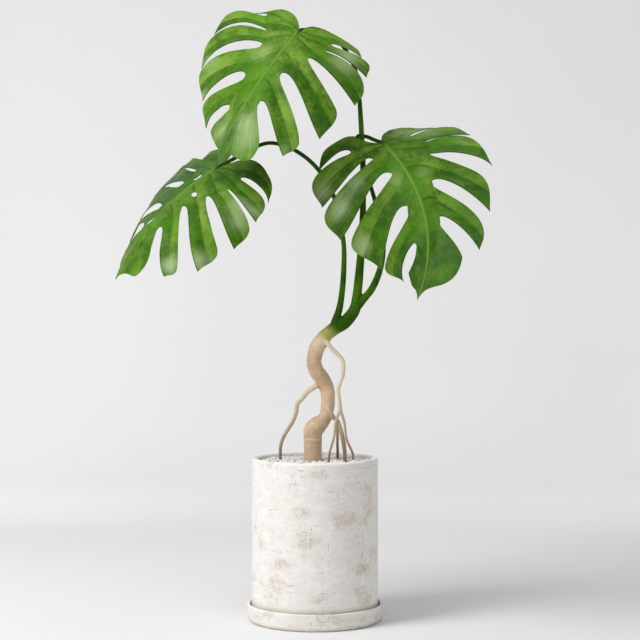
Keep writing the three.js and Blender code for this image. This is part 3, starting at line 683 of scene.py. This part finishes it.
def apical_edge(fingers, index, rib):
    """The edge on the tip's side, from the midrib to the finger's pointed tip."""
    tip = np.array(fingers[index]["tip"], dtype=float)
    if index == FINGERS - 1:
        return rib + (tip - rib) * np.linspace(0, 1, WEB_ROWS + FREE_ROWS + 1)[:, None]
    finger_shape = fingers[index]
    return cut_edge(rib, finger_shape["cut"], cut_frame(fingers, index), -1, tip, finger_shape["apical"])[0]


def outer_margin(fingers, index, near_shoulder):
    """The outer edge of a finger, which carries on from its basal edge round to its tip."""
    if index == FINGERS - 1:
        return bezier(fingers[index]["shoulder"], *fingers[index]["margin"], fingers[index]["tip"], COLUMNS)
    shoulder, tip = [np.array(fingers[index][key], dtype=float) for key in ("shoulder", "tip")]
    onward = unit(shoulder - near_shoulder) * EDGE["round_shoulder"] * np.linalg.norm(tip - shoulder)
    return bezier(shoulder, shoulder + onward, tip + (shoulder - tip) * EDGE["to_tip"], tip, COLUMNS)


def rib_stations(leaf):
    """Where the lines between neighbouring fingers leave the midrib, for both sides."""
    stations = [0.0]
    for index in range(FINGERS - 1):
        feet = [leaf[side]["fingers"][index]["cut"] for side in SIDES]
        mean = sum(along - WEB["lean"] * across for along, across in feet) / 2
        stations.append(max(mean, stations[-1] + WEB["least"]))
    stations.append(stations[-1] + (leaf["length"] - stations[-1]) * WEB["last"])
    return [np.array([along, 0.0]) for along in stations]


def finger_grid(leaf, side, index, stations):
    """Flat points of one finger as a grid of rows and columns between its four edges."""
    fingers = leaf[side]["fingers"]
    basal, near_shoulder = basal_edge(fingers, index, stations[index])
    apical = apical_edge(fingers, index, stations[index + 1])
    outer = outer_margin(fingers, index, near_shoulder)
    u = np.linspace(0, 1, COLUMNS + 1)[None, :, None]
    v = np.linspace(0, 1, WEB_ROWS + FREE_ROWS + 1)[:, None, None]
    foot = stations[index] + (stations[index + 1] - stations[index]) * u
    across = basal[:, None] * (1 - u) + apical[:, None] * u
    ends = (basal[0] * (1 - u) + apical[0] * u) * (1 - v) + (basal[-1] * (1 - u) + apical[-1] * u) * v
    width = np.linalg.norm(apical - basal, axis=1)
    return across + foot * (1 - v) + outer[None] * v - ends, width


def turning(axis, degrees):
    """Rotation matrices about a local axis, one for each angle."""
    angles = np.radians(np.atleast_1d(np.asarray(degrees, dtype=float)))
    c, s = np.cos(angles), np.sin(angles)
    one, zero = np.ones_like(c), np.zeros_like(c)
    rows = {
        "x": [one, zero, zero, zero, c, -s, zero, s, c],
        "y": [c, zero, s, zero, one, zero, -s, zero, c],
        "z": [c, -s, zero, s, c, zero, zero, zero, one],
    }[axis]
    return np.stack(rows, axis=-1).reshape(-1, 3, 3)


def bender(leaf):
    """A function from flat places and lifts to points of the bent leaf."""
    bend = leaf["bend"]
    length = leaf["length"]
    share = np.linspace(*SPINE_SHARES)
    start = turning("z", bend["heading"] - 90) @ turning("y", bend["pitch"]) @ turning("x", bend["roll"])
    attitude = (
        start @ turning("z", bend["turn"][0] * share + bend["turn"][1] * share ** 2)
        @ turning("y", bend["droop"][0] * share + bend["droop"][1] * share ** 2)
        @ turning("x", bend["twist"] * share)
    )
    forward = attitude[:, :, 0]
    step = (share[1] - share[0]) * length
    spine = np.vstack([np.zeros(3), np.cumsum((forward[1:] + forward[:-1]) / 2 * step, axis=0)])

    def at(table, where):
        """Rows of a table that belongs to the spine, at shares of the leaf's length."""
        return np.stack([np.interp(where, share, column) for column in table.T], axis=-1)

    spine += np.array(PETIOLES[leaf["stalk"]][-1][:3]) - at(spine, np.zeros(1))

    def place(along, across, lift):
        along, across, lift = np.broadcast_arrays(along, across, lift)
        radius = np.where(across < 0, leaf["left"]["curl"], leaf["right"]["curl"])
        fold = np.radians(np.where(across < 0, leaf["left"]["fold"], leaf["right"]["fold"]))
        lean = -fold + np.abs(across) / radius
        out = radius * (np.sin(lean) - np.sin(-fold))
        down = radius * (np.cos(fold) - np.cos(lean))
        where = along / length
        sideways = at(attitude[:, :, 1], where) * (np.sign(across) * out)[..., None]
        upward = at(attitude[:, :, 2], where) * (lift - down)[..., None]
        return at(spine, where) + sideways + upward

    return place


def channel_depth(u, v, width):
    """How deep the channel along the middle of a finger is at a place across and along it."""
    depth = min(BLADE["channel"], BLADE["channel_slope"] * width)
    shape = (1 - abs(2 * u - 1)) ** 1.5
    return depth * shape * min(1, v / BLADE["channel_start"]) * (1 - BLADE["channel_end"] * v ** 3)


def finger_relief(u, v, width, index, sign, seed):
    """How far the blade rises: soft ripples, finer quilting and a channel along each finger."""
    ripple = uneven("blade_ripple", (index + u, v, seed + APART["ripple"] * sign)) * min(1, 3 * v)
    return ripple + uneven("blade_quilt", (index + u, v, seed)) - channel_depth(u, v, width)


def fold_shading_paint(u, index):
    """How light a finger is painted across its width, as painted light and shade for its fold: the half
    on the base's side is lighter, with a sharp change to the other half. The last finger, at the tip,
    shows it least."""
    light = FOLD_SHADING_PAINT["wave"] * math.sin(math.tau * u) + FOLD_SHADING_PAINT["change"] * (u if u <= 0.5 else u - 1)
    return light if index < FINGERS - 1 else light * FOLD_SHADING_PAINT["last"]


def finger_numbers(u, v, width, index, sign):
    """What the leaf material reads at a place of a finger: a number that runs on from finger to
    finger, the share of the way out, the distance from the finger's vein, the painted light and shade
    of the finger's fold and the distance from the rim."""
    free = v > WEB_ROWS / (WEB_ROWS + FREE_ROWS)
    return {
        "station": index + u + (APART["station"] if sign < 0 else 0), "reach": v,
        "vein": abs(u - 0.5) * width, "painted_fold_shading": fold_shading_paint(u, index),
        "rim": (1 - u) * width if free else FAR,
    }


def blade_points(leaf, seed):
    """The blade's middle surface: flat places, lifts, faces and numbers for the material."""
    stations = rib_stations(leaf)
    rows = WEB_ROWS + FREE_ROWS
    known, places, lifts, faces, numbers = {}, [], [], [], []
    for side, sign in SIDES.items():
        for index in range(FINGERS):
            grid, width = finger_grid(leaf, side, index, stations)
            ids = np.empty((rows + 1, COLUMNS + 1), dtype=int)
            for row, column in np.ndindex(ids.shape):
                along, across = grid[row, column]
                key = (round(along, 3), round(sign * across, 3))
                if key not in known:
                    where = (column / COLUMNS, row / rows, width[row], index, sign)
                    known[key] = len(places)
                    places.append((along, sign * across))
                    lifts.append(finger_relief(*where, seed))
                    numbers.append(finger_numbers(*where))
                ids[row, column] = known[key]
            # Seen from above, the faces of both sides run the same way round.
            for row, column in np.ndindex(rows, COLUMNS):
                corners = ids[row:row + 2, column:column + 2].ravel()[[0, 1, 3, 2]][::sign].tolist()
                kept = [i for k, i in enumerate(corners) if i != corners[k - 1]]
                if len(kept) > 2:
                    faces.append(kept)
    numbers = {key: np.array([each[key] for each in numbers]) for key in numbers[0]}
    return np.array(places), np.array(lifts), faces, numbers


def thickened(points, faces, half):
    """Points and faces of an even sheet round a middle surface."""
    normals = np.zeros_like(points)
    for size in (3, 4):
        block = np.array([face for face in faces if len(face) == size], dtype=int).reshape(-1, size)
        corners = points[block]
        across = np.cross(corners[:, 2] - corners[:, 0], corners[:, -1] - corners[:, 1])
        for corner in range(size):
            np.add.at(normals, block[:, corner], across)
    normals /= np.maximum(np.linalg.norm(normals, axis=1, keepdims=True), 1e-9)
    count = len(points)
    edges = {(face[k - 1], face[k]) for face in faces for k in range(len(face))}
    sheet = faces + [[i + count for i in reversed(face)] for face in faces]
    for start, end in edges:
        if (end, start) not in edges:
            sheet.append([end, start, start + count, end + count])
    return np.vstack([points + normals * half, points - normals * half]), sheet


def neck_and_midrib(leaf, place):
    """Points and faces of the neck that carries on from the petiole and becomes the midrib."""
    path = [neck_start(PETIOLES[leaf["stalk"]], GAP)]
    for share in np.linspace(0, 1, RIB["points"] + 1):
        radius = BLADE["rib_radius"] + (BLADE["rib_end"] - BLADE["rib_radius"]) * share
        sunk = min(1, 10 * share) * BLADE["rib_sunk"] * radius
        point = place(BLADE["rib_share"] * leaf["length"] * share, 0, -sunk)
        path.append((*point, radius))
    return tube(path, RIB["sides"], RIB["steps"])


def punch(place, sign, hole):
    """An oval cutter through the blade, as an object that is removed after its use."""
    (along, across), size, angle = hole
    centre = place(along, sign * across, 0)
    ahead = unit(place(along + 1, sign * across, 0) - centre)
    aside = unit(place(along, sign * (across + 1), 0) - centre)
    up = unit(np.cross(ahead, aside)) * sign
    square = np.cross(up, ahead) * sign
    turn = math.radians(angle)
    long = ahead * math.cos(turn) + square * math.sin(turn)
    short = np.cross(up, long)
    sides = PUNCH["sides"]
    vertices = []
    for height in (-PUNCH["half_depth"], PUNCH["half_depth"]):
        for a in 2 * math.pi * np.arange(sides) / sides:
            offset = long * math.cos(a) * size[0] / 2 + short * math.sin(a) * size[1] / 2
            vertices.append(centre + offset + up * height)
    ends = [tuple(reversed(range(sides))), tuple(range(sides, 2 * sides))]
    return mesh_object("punch", vertices, ends + bands(0, 2, sides))


def sheen_and_shade_at(places, patches):
    """How pale the upper face is painted at flat places, from -1 to 1: painted sheen above 0 and
    painted shade below 0.
    """
    pale = np.zeros(len(places))
    for side, sign in SIDES.items():
        # The two sides share the points within a millimetre of the midrib.
        own = places[:, 1] * sign > -1
        for (along, across), radius, strength in patches[side]:
            away = np.hypot(places[:, 0] - along, places[:, 1] - sign * across)
            pale += own * strength * np.exp(-(away / radius) ** 2)
    return np.clip(pale, -1, 1)


def make_leaf(name, leaf, seed):
    place = bender(leaf)
    places, lifts, faces, numbers = blade_points(leaf, seed)
    middle = place(places[:, 0], places[:, 1], lifts)
    vertices, sheet = thickened(middle, faces, BLADE["half"])
    count = len(places)
    rib_width = np.interp(places[:, 0], (0, leaf["length"]), BLADE["rib_mark"])
    numbers["off_rib"] = np.abs(places[:, 1]) / rib_width
    numbers["bloom"] = sheen_and_shade_at(places, SHEEN_AND_SHADE_PATCHES[name])
    numbers = {key: np.tile(values, 2) for key, values in numbers.items()}
    numbers["upper"] = np.repeat([1, 0], count)
    numbers["neck"] = np.zeros(2 * count)
    obj = mesh_object(name + "_blade", vertices, sheet, numbers)
    for side, sign in SIDES.items():
        for hole in leaf[side]["holes"]:
            cutter = punch(place, sign, hole)
            cut = obj.modifiers.new("hole", "BOOLEAN")
            cut.object = cutter
            cut.solver = "EXACT"
            settle(obj)
            bpy.data.objects.remove(cutter)
    return with_midrib(obj, name, *neck_and_midrib(leaf, place))


def with_midrib(blade, name, vertices, faces):
    """One leaf object of the blade and its midrib."""
    count = len(vertices)
    numbers = {key: np.zeros(count) for key in ("station", "reach", "painted_fold_shading", "bloom")}
    numbers["upper"] = np.ones(count)
    numbers["vein"] = numbers["rim"] = np.full(count, FAR)
    numbers["off_rib"] = np.full(count, BLADE["rib_tone"])
    numbers["neck"] = np.clip(2 - np.arange(count) / (RIB["steps"] * RIB["sides"]), 0, 1)
    midrib = mesh_object(name + "_rib", vertices, faces, numbers)
    with bpy.context.temp_override(active_object=blade, selected_editable_objects=[blade, midrib]):
        bpy.ops.object.join()
    blade.data.set_sharp_from_angle(angle=math.radians(BLADE["sharp"]))
    return blade


# Pebbles.

def small_ball():
    """Points and faces of a ball of radius 1."""
    bpy.ops.mesh.primitive_ico_sphere_add(subdivisions=2, radius=1)
    ball = bpy.context.active_object
    points = np.array([v.co for v in ball.data.vertices])
    faces = [tuple(p.vertices) for p in ball.data.polygons]
    bpy.data.objects.remove(ball)
    return points, faces


def make_pebbles():
    draw = random.Random(PEBBLE["seed"])
    ball, ball_faces = small_ball()
    rooted = [STEM[1]] + [path[-1] for path in AERIAL_ROOTS.values() if path[-1][2] < GRAVEL_TOP]
    vertices, faces, tones = [], [], []
    wall = POT_INNER - GAP
    pitch, jitter = PEBBLE["pitch"], PEBBLE["jitter"]
    count = math.ceil(wall / pitch) + 1
    grid = range(-count, count + 1)
    for layer, row, column in [(k, i, j) for k in range(len(PEBBLE["layers"])) for i in grid for j in grid]:
        shift = PEBBLE["shift"] * layer
        x = (column + 0.5 * (row % 2) + shift) * pitch + draw.uniform(-1, 1) * jitter
        y = (row * math.sin(math.pi / 3) + shift) * pitch + draw.uniform(-1, 1) * jitter
        size = PEBBLE["radius"] * draw.uniform(*PEBBLE["size"])
        shape = np.array([1, draw.uniform(*PEBBLE["narrow"]), draw.uniform(*PEBBLE["flat"])]) * size
        tilt = [math.degrees(draw.uniform(*PEBBLE["tilt"])) for axis in "xy"]
        spin = math.degrees(draw.uniform(0, math.tau))
        tone = draw.random()
        z = GRAVEL_TOP + PEBBLE["layers"][layer] + draw.uniform(*PEBBLE["rise"])
        near = PEBBLE["clearance"] * size
        clear = all(math.hypot(x - rx, y - ry) > radius + near for rx, ry, rz, radius in rooted)
        if math.hypot(x, y) > wall - size or not clear:
            continue
        offset = Vector((draw.uniform(0, 99), draw.uniform(0, 99), 0))
        places = [Vector(point) * PEBBLE["lump_rate"] + offset for point in ball]
        lumps = np.array([1 + PEBBLE["lumps"] * noise.noise(place) for place in places])
        attitude = (turning("z", spin) @ turning("x", tilt[0]) @ turning("y", tilt[1]))[0]
        stone = (ball * lumps[:, None] * shape) @ attitude.T + np.array([x, y, z])
        faces += [tuple(i + len(vertices) for i in face) for face in ball_faces]
        vertices += stone.tolist()
        tones += [tone] * len(stone)
    # Each point's height over the gravel's top, from which the material paints shade into the gaps between
    # stones.
    heights = np.array(vertices)[:, 2] - GRAVEL_TOP
    return mesh_object("pebble_bed", vertices, faces, {"tone": tones, "height": heights})


# Materials. A length is in metres where the material measures it, and in millimetres where it
# comes from the numbers of a piece.

class Signal:
    """What a node gives out: a number, a vector or a colour at each place of a surface."""

    def __init__(self, graph, socket):
        self.graph = graph
        self.socket = socket

    def __add__(self, other):
        return self.graph.math("ADD", self, other)

    def __sub__(self, other):
        return self.graph.math("SUBTRACT", self, other)

    def __mul__(self, other):
        return self.graph.math("MULTIPLY", self, other)

    def spread(self, low, high, start=0.0, end=1.0):
        """From start, where this number is low, smoothly to end, where it is high."""
        inputs = {"Value": self, "From Min": low, "From Max": high, "To Min": start, "To Max": end}
        return self.graph.node("ShaderNodeMapRange", "Result", inputs, interpolation_type="SMOOTHSTEP")


class Graph:
    """A material's node tree, with short calls for the nodes used below."""

    def __init__(self, name):
        self.material = bpy.data.materials.new(name)
        self.material.use_nodes = True
        self.tree = self.material.node_tree
        self.shader = self.tree.nodes["Principled BSDF"]
        self.place = self.node("ShaderNodeTexCoord", "Object")

    def node(self, kind, output, inputs=None, **settings):
        """One output of a new node. Its inputs are values or signals."""
        node = self.tree.nodes.new(kind)
        for key, value in settings.items():
            setattr(node, key, value)
        for key, value in (inputs or {}).items():
            if isinstance(value, Signal):
                self.tree.links.new(value.socket, node.inputs[key])
            else:
                node.inputs[key].default_value = value
        return Signal(self, node.outputs[output])

    def value(self, name):
        return self.node("ShaderNodeAttribute", "Fac", attribute_name=name)

    def height(self):
        return self.node("ShaderNodeSeparateXYZ", "Z", {0: self.place})

    def math(self, operation, first, second=0.0):
        return self.node("ShaderNodeMath", 0, {0: first, 1: second}, operation=operation)

    def vector(self, operation, first, second, output="Vector"):
        return self.node("ShaderNodeVectorMath", output, {0: first, 1: second}, operation=operation)

    def joined(self, x, y):
        return self.node("ShaderNodeCombineXYZ", 0, {"X": x, "Y": y})

    def noise(self, scale, vector=None, detail=4.0, roughness=0.55):
        """Soft noise. A scale of three numbers stretches it along the axes."""
        vector = vector or self.place
        if isinstance(scale, tuple):
            vector, scale = self.vector("MULTIPLY", vector, scale), 1
        inputs = {"Vector": vector, "Scale": scale, "Detail": detail, "Roughness": roughness}
        return self.node("ShaderNodeTexNoise", "Fac", inputs)

    def layers(self, base, **layers):
        """A base colour under named layers, each a colour and the share of it that is seen.
        A mix node takes its two colours at sockets 6 and 7 and gives a colour at socket 2."""
        for layer, share in layers.values():
            below, above = [(*color, 1) if isinstance(color, tuple) else color for color in (base, layer)]
            base = self.node("ShaderNodeMix", 2, {0: share, 6: below, 7: above}, data_type="RGBA")
        return base

    def past_crown(self):
        """How far a place is past the stem's upper end."""
        return self.vector("DOT_PRODUCT", self.place, CROWN_UP, "Value") - CROWN_UP.dot(CROWN) * MM

    def finish(self, color, roughness, relief, strength, depth, specular=0.5):
        """The finished material. Its bump reads the relief, with a depth in millimetres."""
        inputs = {"Height": relief, "Strength": strength, "Distance": depth * MM}
        normal = self.node("ShaderNodeBump", "Normal", inputs)
        for key, signal in (("Base Color", color), ("Roughness", roughness), ("Normal", normal)):
            self.tree.links.new(signal.socket, self.shader.inputs[key])
        self.shader.inputs["Specular IOR Level"].default_value = specular
        return self.material


def leaf_material():
    """Mottled green with painted light and shade on the halves of each finger's fold, patches of
    painted sheen and painted shade, painted shade in the creases along the veins, a dark rim and the
    midrib.
    """
    g = Graph("leaf_blade_green")
    reach, off_rib, patch = g.value("reach"), g.value("off_rib"), g.value("bloom")
    lengthwise = g.joined(g.value("station"), reach)
    broad = g.noise(16, detail=3)
    mottle = g.noise(48, detail=4, roughness=0.65)
    specks = g.noise(150, detail=3, roughness=0.6)
    streaks = g.noise((14, 1.5, 1), lengthwise, detail=4, roughness=0.6)
    streaks = (streaks - 0.5) * reach.spread(0.15, 0.45) + 0.5
    fine = g.noise((70, 5, 1), lengthwise, detail=3)
    # Painted light and shade: the half of each finger's fold on the base's side lighter than the other.
    painted_fold_shading = g.value("painted_fold_shading") * reach.spread(0.05, 0.40, 0.25, 1.0) * broad.spread(0.35, 0.65, 0.45, 1.3)
    # Painted sheen where the patches are above 0, and painted shade where they are below 0.
    bloom = g.math("MAXIMUM", patch)
    deep = g.math("MAXIMUM", patch * -1.0)
    foot = reach.spread(0.01, 0.06) * reach.spread(0.42, 0.12)
    # Darker along each finger's vein near the midrib: painted shade in the creases there.
    crease = g.value("vein").spread(3.6, 0.3) * foot * mottle.spread(0.40, 0.55)
    # The lighter green mixes random tone with the painted fold shading and a little painted sheen.
    light = painted_fold_shading * 0.28 + broad * 0.8 + mottle * 0.9 + streaks * 0.6 + specks * 0.35 + bloom * 0.2
    upper = g.layers(
        (0.016, 0.078, 0.001),
        light=((0.158, 0.290, 0.030), light.spread(0.92, 1.78)),
        vivid=((0.052, 0.190, 0.001), g.noise(11, detail=2).spread(0.46, 0.62) * 0.5),
        streak=((0.190, 0.320, 0.060), fine.spread(0.5, 0.8) * 0.2),
        # A deeper green of painted shade, then a pale, dull green of painted sheen.
        deep=((0.024, 0.078, 0.010), deep * mottle.spread(0.35, 0.65, 1.0, 0.72)),
        bloom=((0.380, 0.470, 0.260), bloom * streaks.spread(0.36, 0.62, 0.6, 0.95)),
        # Painted shade in the creases along the veins.
        crease=((0.014, 0.050, 0.002), crease * 0.8),
        rim=((0.020, 0.056, 0.006), g.value("rim").spread(4.5, 0.3) * 0.7),
        rib_shadow=((0.040, 0.125, 0.006), off_rib.spread(2.2, 1.1) * 0.4),
        rib=((0.140, 0.285, 0.045), off_rib.spread(1.40, 0.75) * 0.7),
        rib_groove=((0.100, 0.220, 0.025), off_rib.spread(0.55, 0.15) * 0.4),
    )
    color = g.layers(
        g.layers(upper, back=((0.070, 0.130, 0.035), 0.6)),
        upper=(upper, g.value("upper")),
        neck=((0.012, 0.045, 0.003), g.value("neck")),
    )
    roughness = g.noise(25).spread(0.3, 0.7, 0.38, 0.52)
    return g.finish(color, roughness, streaks * 0.6 + fine * 0.4, 0.35, 0.6, specular=0.05)


def petiole_material():
    """Fibrous green, darker on the arches to the leaves and where the petioles part."""
    g = Graph("petiole_green")
    fibres = g.noise((500, 500, 18), detail=3)
    blotches = g.noise(22, detail=3)
    from_fork = g.vector("DISTANCE", g.place, FORK * MM, "Value")
    color = g.layers(
        (0.014, 0.064, 0.001),
        light=((0.054, 0.160, 0.003), blotches.spread(0.3, 0.7)),
        fibre=((0.120, 0.270, 0.012), fibres.spread(0.45, 0.75) * 0.5),
        arch=((0.008, 0.035, 0.003), g.value("to_leaf").spread(250.0, 130.0, 0.0, 0.75)),
        fork=((0.010, 0.048, 0.001), from_fork.spread(0.045, 0.012) * 0.6),
        crown=(CROWN_GREEN, g.past_crown().spread(0.026, 0.0)),
    )
    return g.finish(color, blotches.spread(0.3, 0.7, 0.34, 0.48), fibres, 0.4, 0.5, specular=0.06)


def stem_material():
    """Tan bark, paler at the top and browner below; the aerial roots are cream and end brown."""
    g = Graph("stem_tan_bark")
    height, past_crown = g.height(), g.past_crown()
    blotches = g.noise(28, detail=5)
    fibres = g.noise((420, 420, 40), detail=5, roughness=0.65)
    bands = g.noise((30, 30, 260), detail=3)
    off_scar = g.math("ABSOLUTE", height - LOW_SCAR * MM)
    bark = g.layers(
        (0.520, 0.355, 0.215),
        light=((0.730, 0.545, 0.370), blotches.spread(0.3, 0.7)),
        low=((0.600, 0.420, 0.265), height.spread(0.375, 0.350, 0.0, 0.5)),
        high=((0.780, 0.610, 0.430), height.spread(0.525, 0.550, 0.0, 0.7)),
        band=((0.320, 0.200, 0.110), bands.spread(0.55, 0.75) * 0.35),
        scar=((0.820, 0.680, 0.520), off_scar.spread(0.0030, 0.0006, 0.0, 0.35)),
        crown=(CROWN_GREEN, past_crown.spread(-0.018, 0.0)),
    )
    root = g.layers(
        (0.740, 0.630, 0.450),
        tan=((0.500, 0.370, 0.240), height.spread(0.455, 0.380)),
        brown=((0.250, 0.155, 0.105), height.spread(0.375, 0.320)),
    )
    color = g.layers(
        bark,
        root=(root, g.value("off_stem").spread(1.08, 1.24)),
        fibre=((0.310, 0.200, 0.115), fibres.spread(0.5, 0.75) * past_crown.spread(0.0, -0.02, 0.0, 0.45)),
    )
    return g.finish(color, blotches.spread(0.3, 0.7, 0.5, 0.66), fibres + bands * 0.5, 0.45, 0.7)


def clay_material(name, foot):
    """Limewash brushed over clay: white with rubbed tan patches, drips and short cracks, and a browner
    band over the height of its foot that is painted shade where the piece stands."""
    g = Graph(name)
    height = g.height()
    flat = g.joined(g.value("around"), height)
    shaken = g.node("ShaderNodeTexNoise", "Color", {"Vector": flat, "Scale": 70.0, "Detail": 2.0})
    bent = g.vector("ADD", flat, g.vector("MULTIPLY", shaken, (0.012, 0.012, 0)))
    broad = g.noise((18, 18, 30), detail=3)
    cloudy = g.noise((45, 45, 80), detail=4, roughness=0.6)
    small = g.noise((160, 160, 260), detail=5, roughness=0.7)
    brushed = g.noise((80, 80, 520), detail=4, roughness=0.6)
    upright = g.noise((320, 320, 45), detail=4, roughness=0.6)
    strokes = g.math("MAXIMUM", brushed.spread(0.52, 0.70), upright.spread(0.54, 0.72))
    rubbed = (g.value("rubbed") + broad.spread(0.48, 0.72) * 0.6) * cloudy.spread(0.36, 0.62, 0.2, 1.15)
    worn = rubbed.spread(0.20, 0.75) * g.math("MAXIMUM", strokes, small.spread(0.50, 0.68))
    drips = g.value("drips") * upright.spread(0.48, 0.62) * cloudy.spread(0.35, 0.55)
    joints = g.node("ShaderNodeTexBrick", "Color", {
        "Vector": bent, "Scale": 1.0, "Mortar Size": 0.0004, "Mortar Smooth": 0.3,
        "Brick Width": 0.021, "Row Height": 0.013, "Color1": (0, 0, 0, 1), "Color2": (0, 0, 0, 1),
        "Mortar": (1, 1, 1, 1),
    })
    cracks = joints * g.noise(24, detail=1).spread(0.48, 0.60) * g.noise(150, detail=2).spread(0.47, 0.56)
    color = g.layers(
        (0.800, 0.775, 0.740),
        bright=((0.880, 0.860, 0.830), cloudy.spread(0.35, 0.7)),
        stroke=((0.640, 0.580, 0.510), strokes * 0.42),
        rubbed=((0.630, 0.550, 0.465), rubbed.spread(0.05, 0.75) * 0.55),
        worn=((0.500, 0.370, 0.260), worn * 0.6),
        drip=((0.400, 0.230, 0.120), drips * 0.85),
        crack=((0.180, 0.140, 0.110), cracks * 0.7),
        # Darker and browner below the height of the foot and just above it: painted shade where the piece
        # stands.
        foot=((0.520, 0.420, 0.330), height.spread(foot + 0.012, foot, 0.0, 0.45)),
    )
    return g.finish(color, small.spread(0.3, 0.7, 0.72, 0.9), small + brushed * 0.7 - cracks, 0.5, 0.6)


def pebble_material():
    g = Graph("pebbles_white")
    grains = g.noise(500, detail=4)
    color = g.layers(
        (0.720, 0.700, 0.680),
        white=((0.900, 0.890, 0.870), g.value("tone")),
        grain=((0.520, 0.490, 0.460), grains.spread(0.5, 0.8) * 0.35),
        # The lower a stone lies, the darker it is painted: painted shade in the gaps between the stones.
        gap=((0.130, 0.108, 0.088), g.value("height").spread(4.6, 1.8)),
    )
    return g.finish(color, grains.spread(0.3, 0.7, 0.55, 0.75), grains, 0.4, 0.4)


def soil_material():
    g = Graph("soil_dark")
    crumbs = g.noise(260, detail=6, roughness=0.7)
    fibres = g.node("ShaderNodeTexVoronoi", "Distance", {"Vector": g.place, "Scale": 420})
    color = g.layers(
        (0.018, 0.011, 0.007),
        light=((0.095, 0.062, 0.040), crumbs.spread(0.35, 0.7)),
        fibre=((0.200, 0.150, 0.100), fibres.spread(0.12, 0.05, 0.0, 0.6)),
    )
    return g.finish(color, crumbs.spread(0.3, 0.7, 0.8, 0.95), crumbs, 0.9, 1.5)


def studio_material():
    g = Graph("studio_grey")
    mottling = g.noise(0.8, detail=2)
    color = g.layers((0.740, 0.740, 0.740), light=((0.760, 0.760, 0.760), mottling.spread(0.3, 0.7)))
    return g.finish(color, mottling.spread(0.3, 0.7, 0.8, 0.9), mottling, 0.05, 1.0)


# Floor, light and camera.

def make_sweep():
    """A pale floor that curves up into a backdrop."""
    start, radius, half = SWEEP["bend_start"], SWEEP["radius"], SWEEP["half_width"]
    line = [(SWEEP["front"], 0), (start, 0), *arc(start, radius, radius, -87, 0, 29)]
    line += [(start + radius, SWEEP["top"])]
    vertices = np.array([(x, y, z) for y, z in line for x in (-half, half)]) / MM
    faces = [(2 * i, 2 * i + 1, 2 * i + 3, 2 * i + 2) for i in range(len(line) - 1)]
    obj = mesh_object("studio_sweep", vertices, faces)
    obj.data.materials.append(studio_material())


def light_up():
    """The lights, which are rectangles aimed at their targets, and a pale air all round."""
    for name, light in LIGHTS.items():
        data = bpy.data.lights.new(name, "AREA")
        data.shape = "RECTANGLE"
        data.size, data.size_y = light["size"]
        data.energy = light["power"]
        obj = bpy.data.objects.new(name, data)
        obj.location = light["at"]
        aim = Vector(light["target"]) - Vector(light["at"])
        obj.rotation_euler = aim.to_track_quat("-Z", "Y").to_euler()
        bpy.context.scene.collection.objects.link(obj)
    world = bpy.data.worlds.new("studio_air")
    world.use_nodes = True
    background = world.node_tree.nodes["Background"]
    background.inputs["Color"].default_value = (1.0, 1.0, 1.0, 1.0)
    background.inputs["Strength"].default_value = AIR_LIGHT
    bpy.context.scene.world = world


def make_camera():
    data = bpy.data.cameras.new("photo_camera")
    data.lens = CAMERA["lens"]
    data.sensor_width = CAMERA["sensor_width"]
    obj = bpy.data.objects.new("photo_camera", data)
    obj.location = CAMERA["at"]
    obj.rotation_euler = (math.pi / 2, 0, 0)
    bpy.context.scene.collection.objects.link(obj)
    bpy.context.scene.camera = obj


# Assembly.

pot_clay = clay_material("limewashed_clay_pot", SAUCER["height"] * MM)
saucer_clay = clay_material("limewashed_clay_saucer", 0.0)
declare(make_saucer(), "saucer", saucer_clay)
declare(make_pot(), "pot", pot_clay)
declare(make_soil(), "potting_soil", soil_material())
declare(make_pebbles(), "pebbles", pebble_material())
declare(make_stem(), "stem", stem_material())
declare(make_petioles(), "petioles", petiole_material())
blade_green = leaf_material()
for number, (leaf_name, leaf_shape) in enumerate(LEAVES.items()):
    declare(make_leaf(leaf_name, leaf_shape, APART["leaf"] * number), leaf_name, blade_green)

make_sweep()
light_up()
make_camera()
bpy.context.scene.view_settings.view_transform = "Standard"
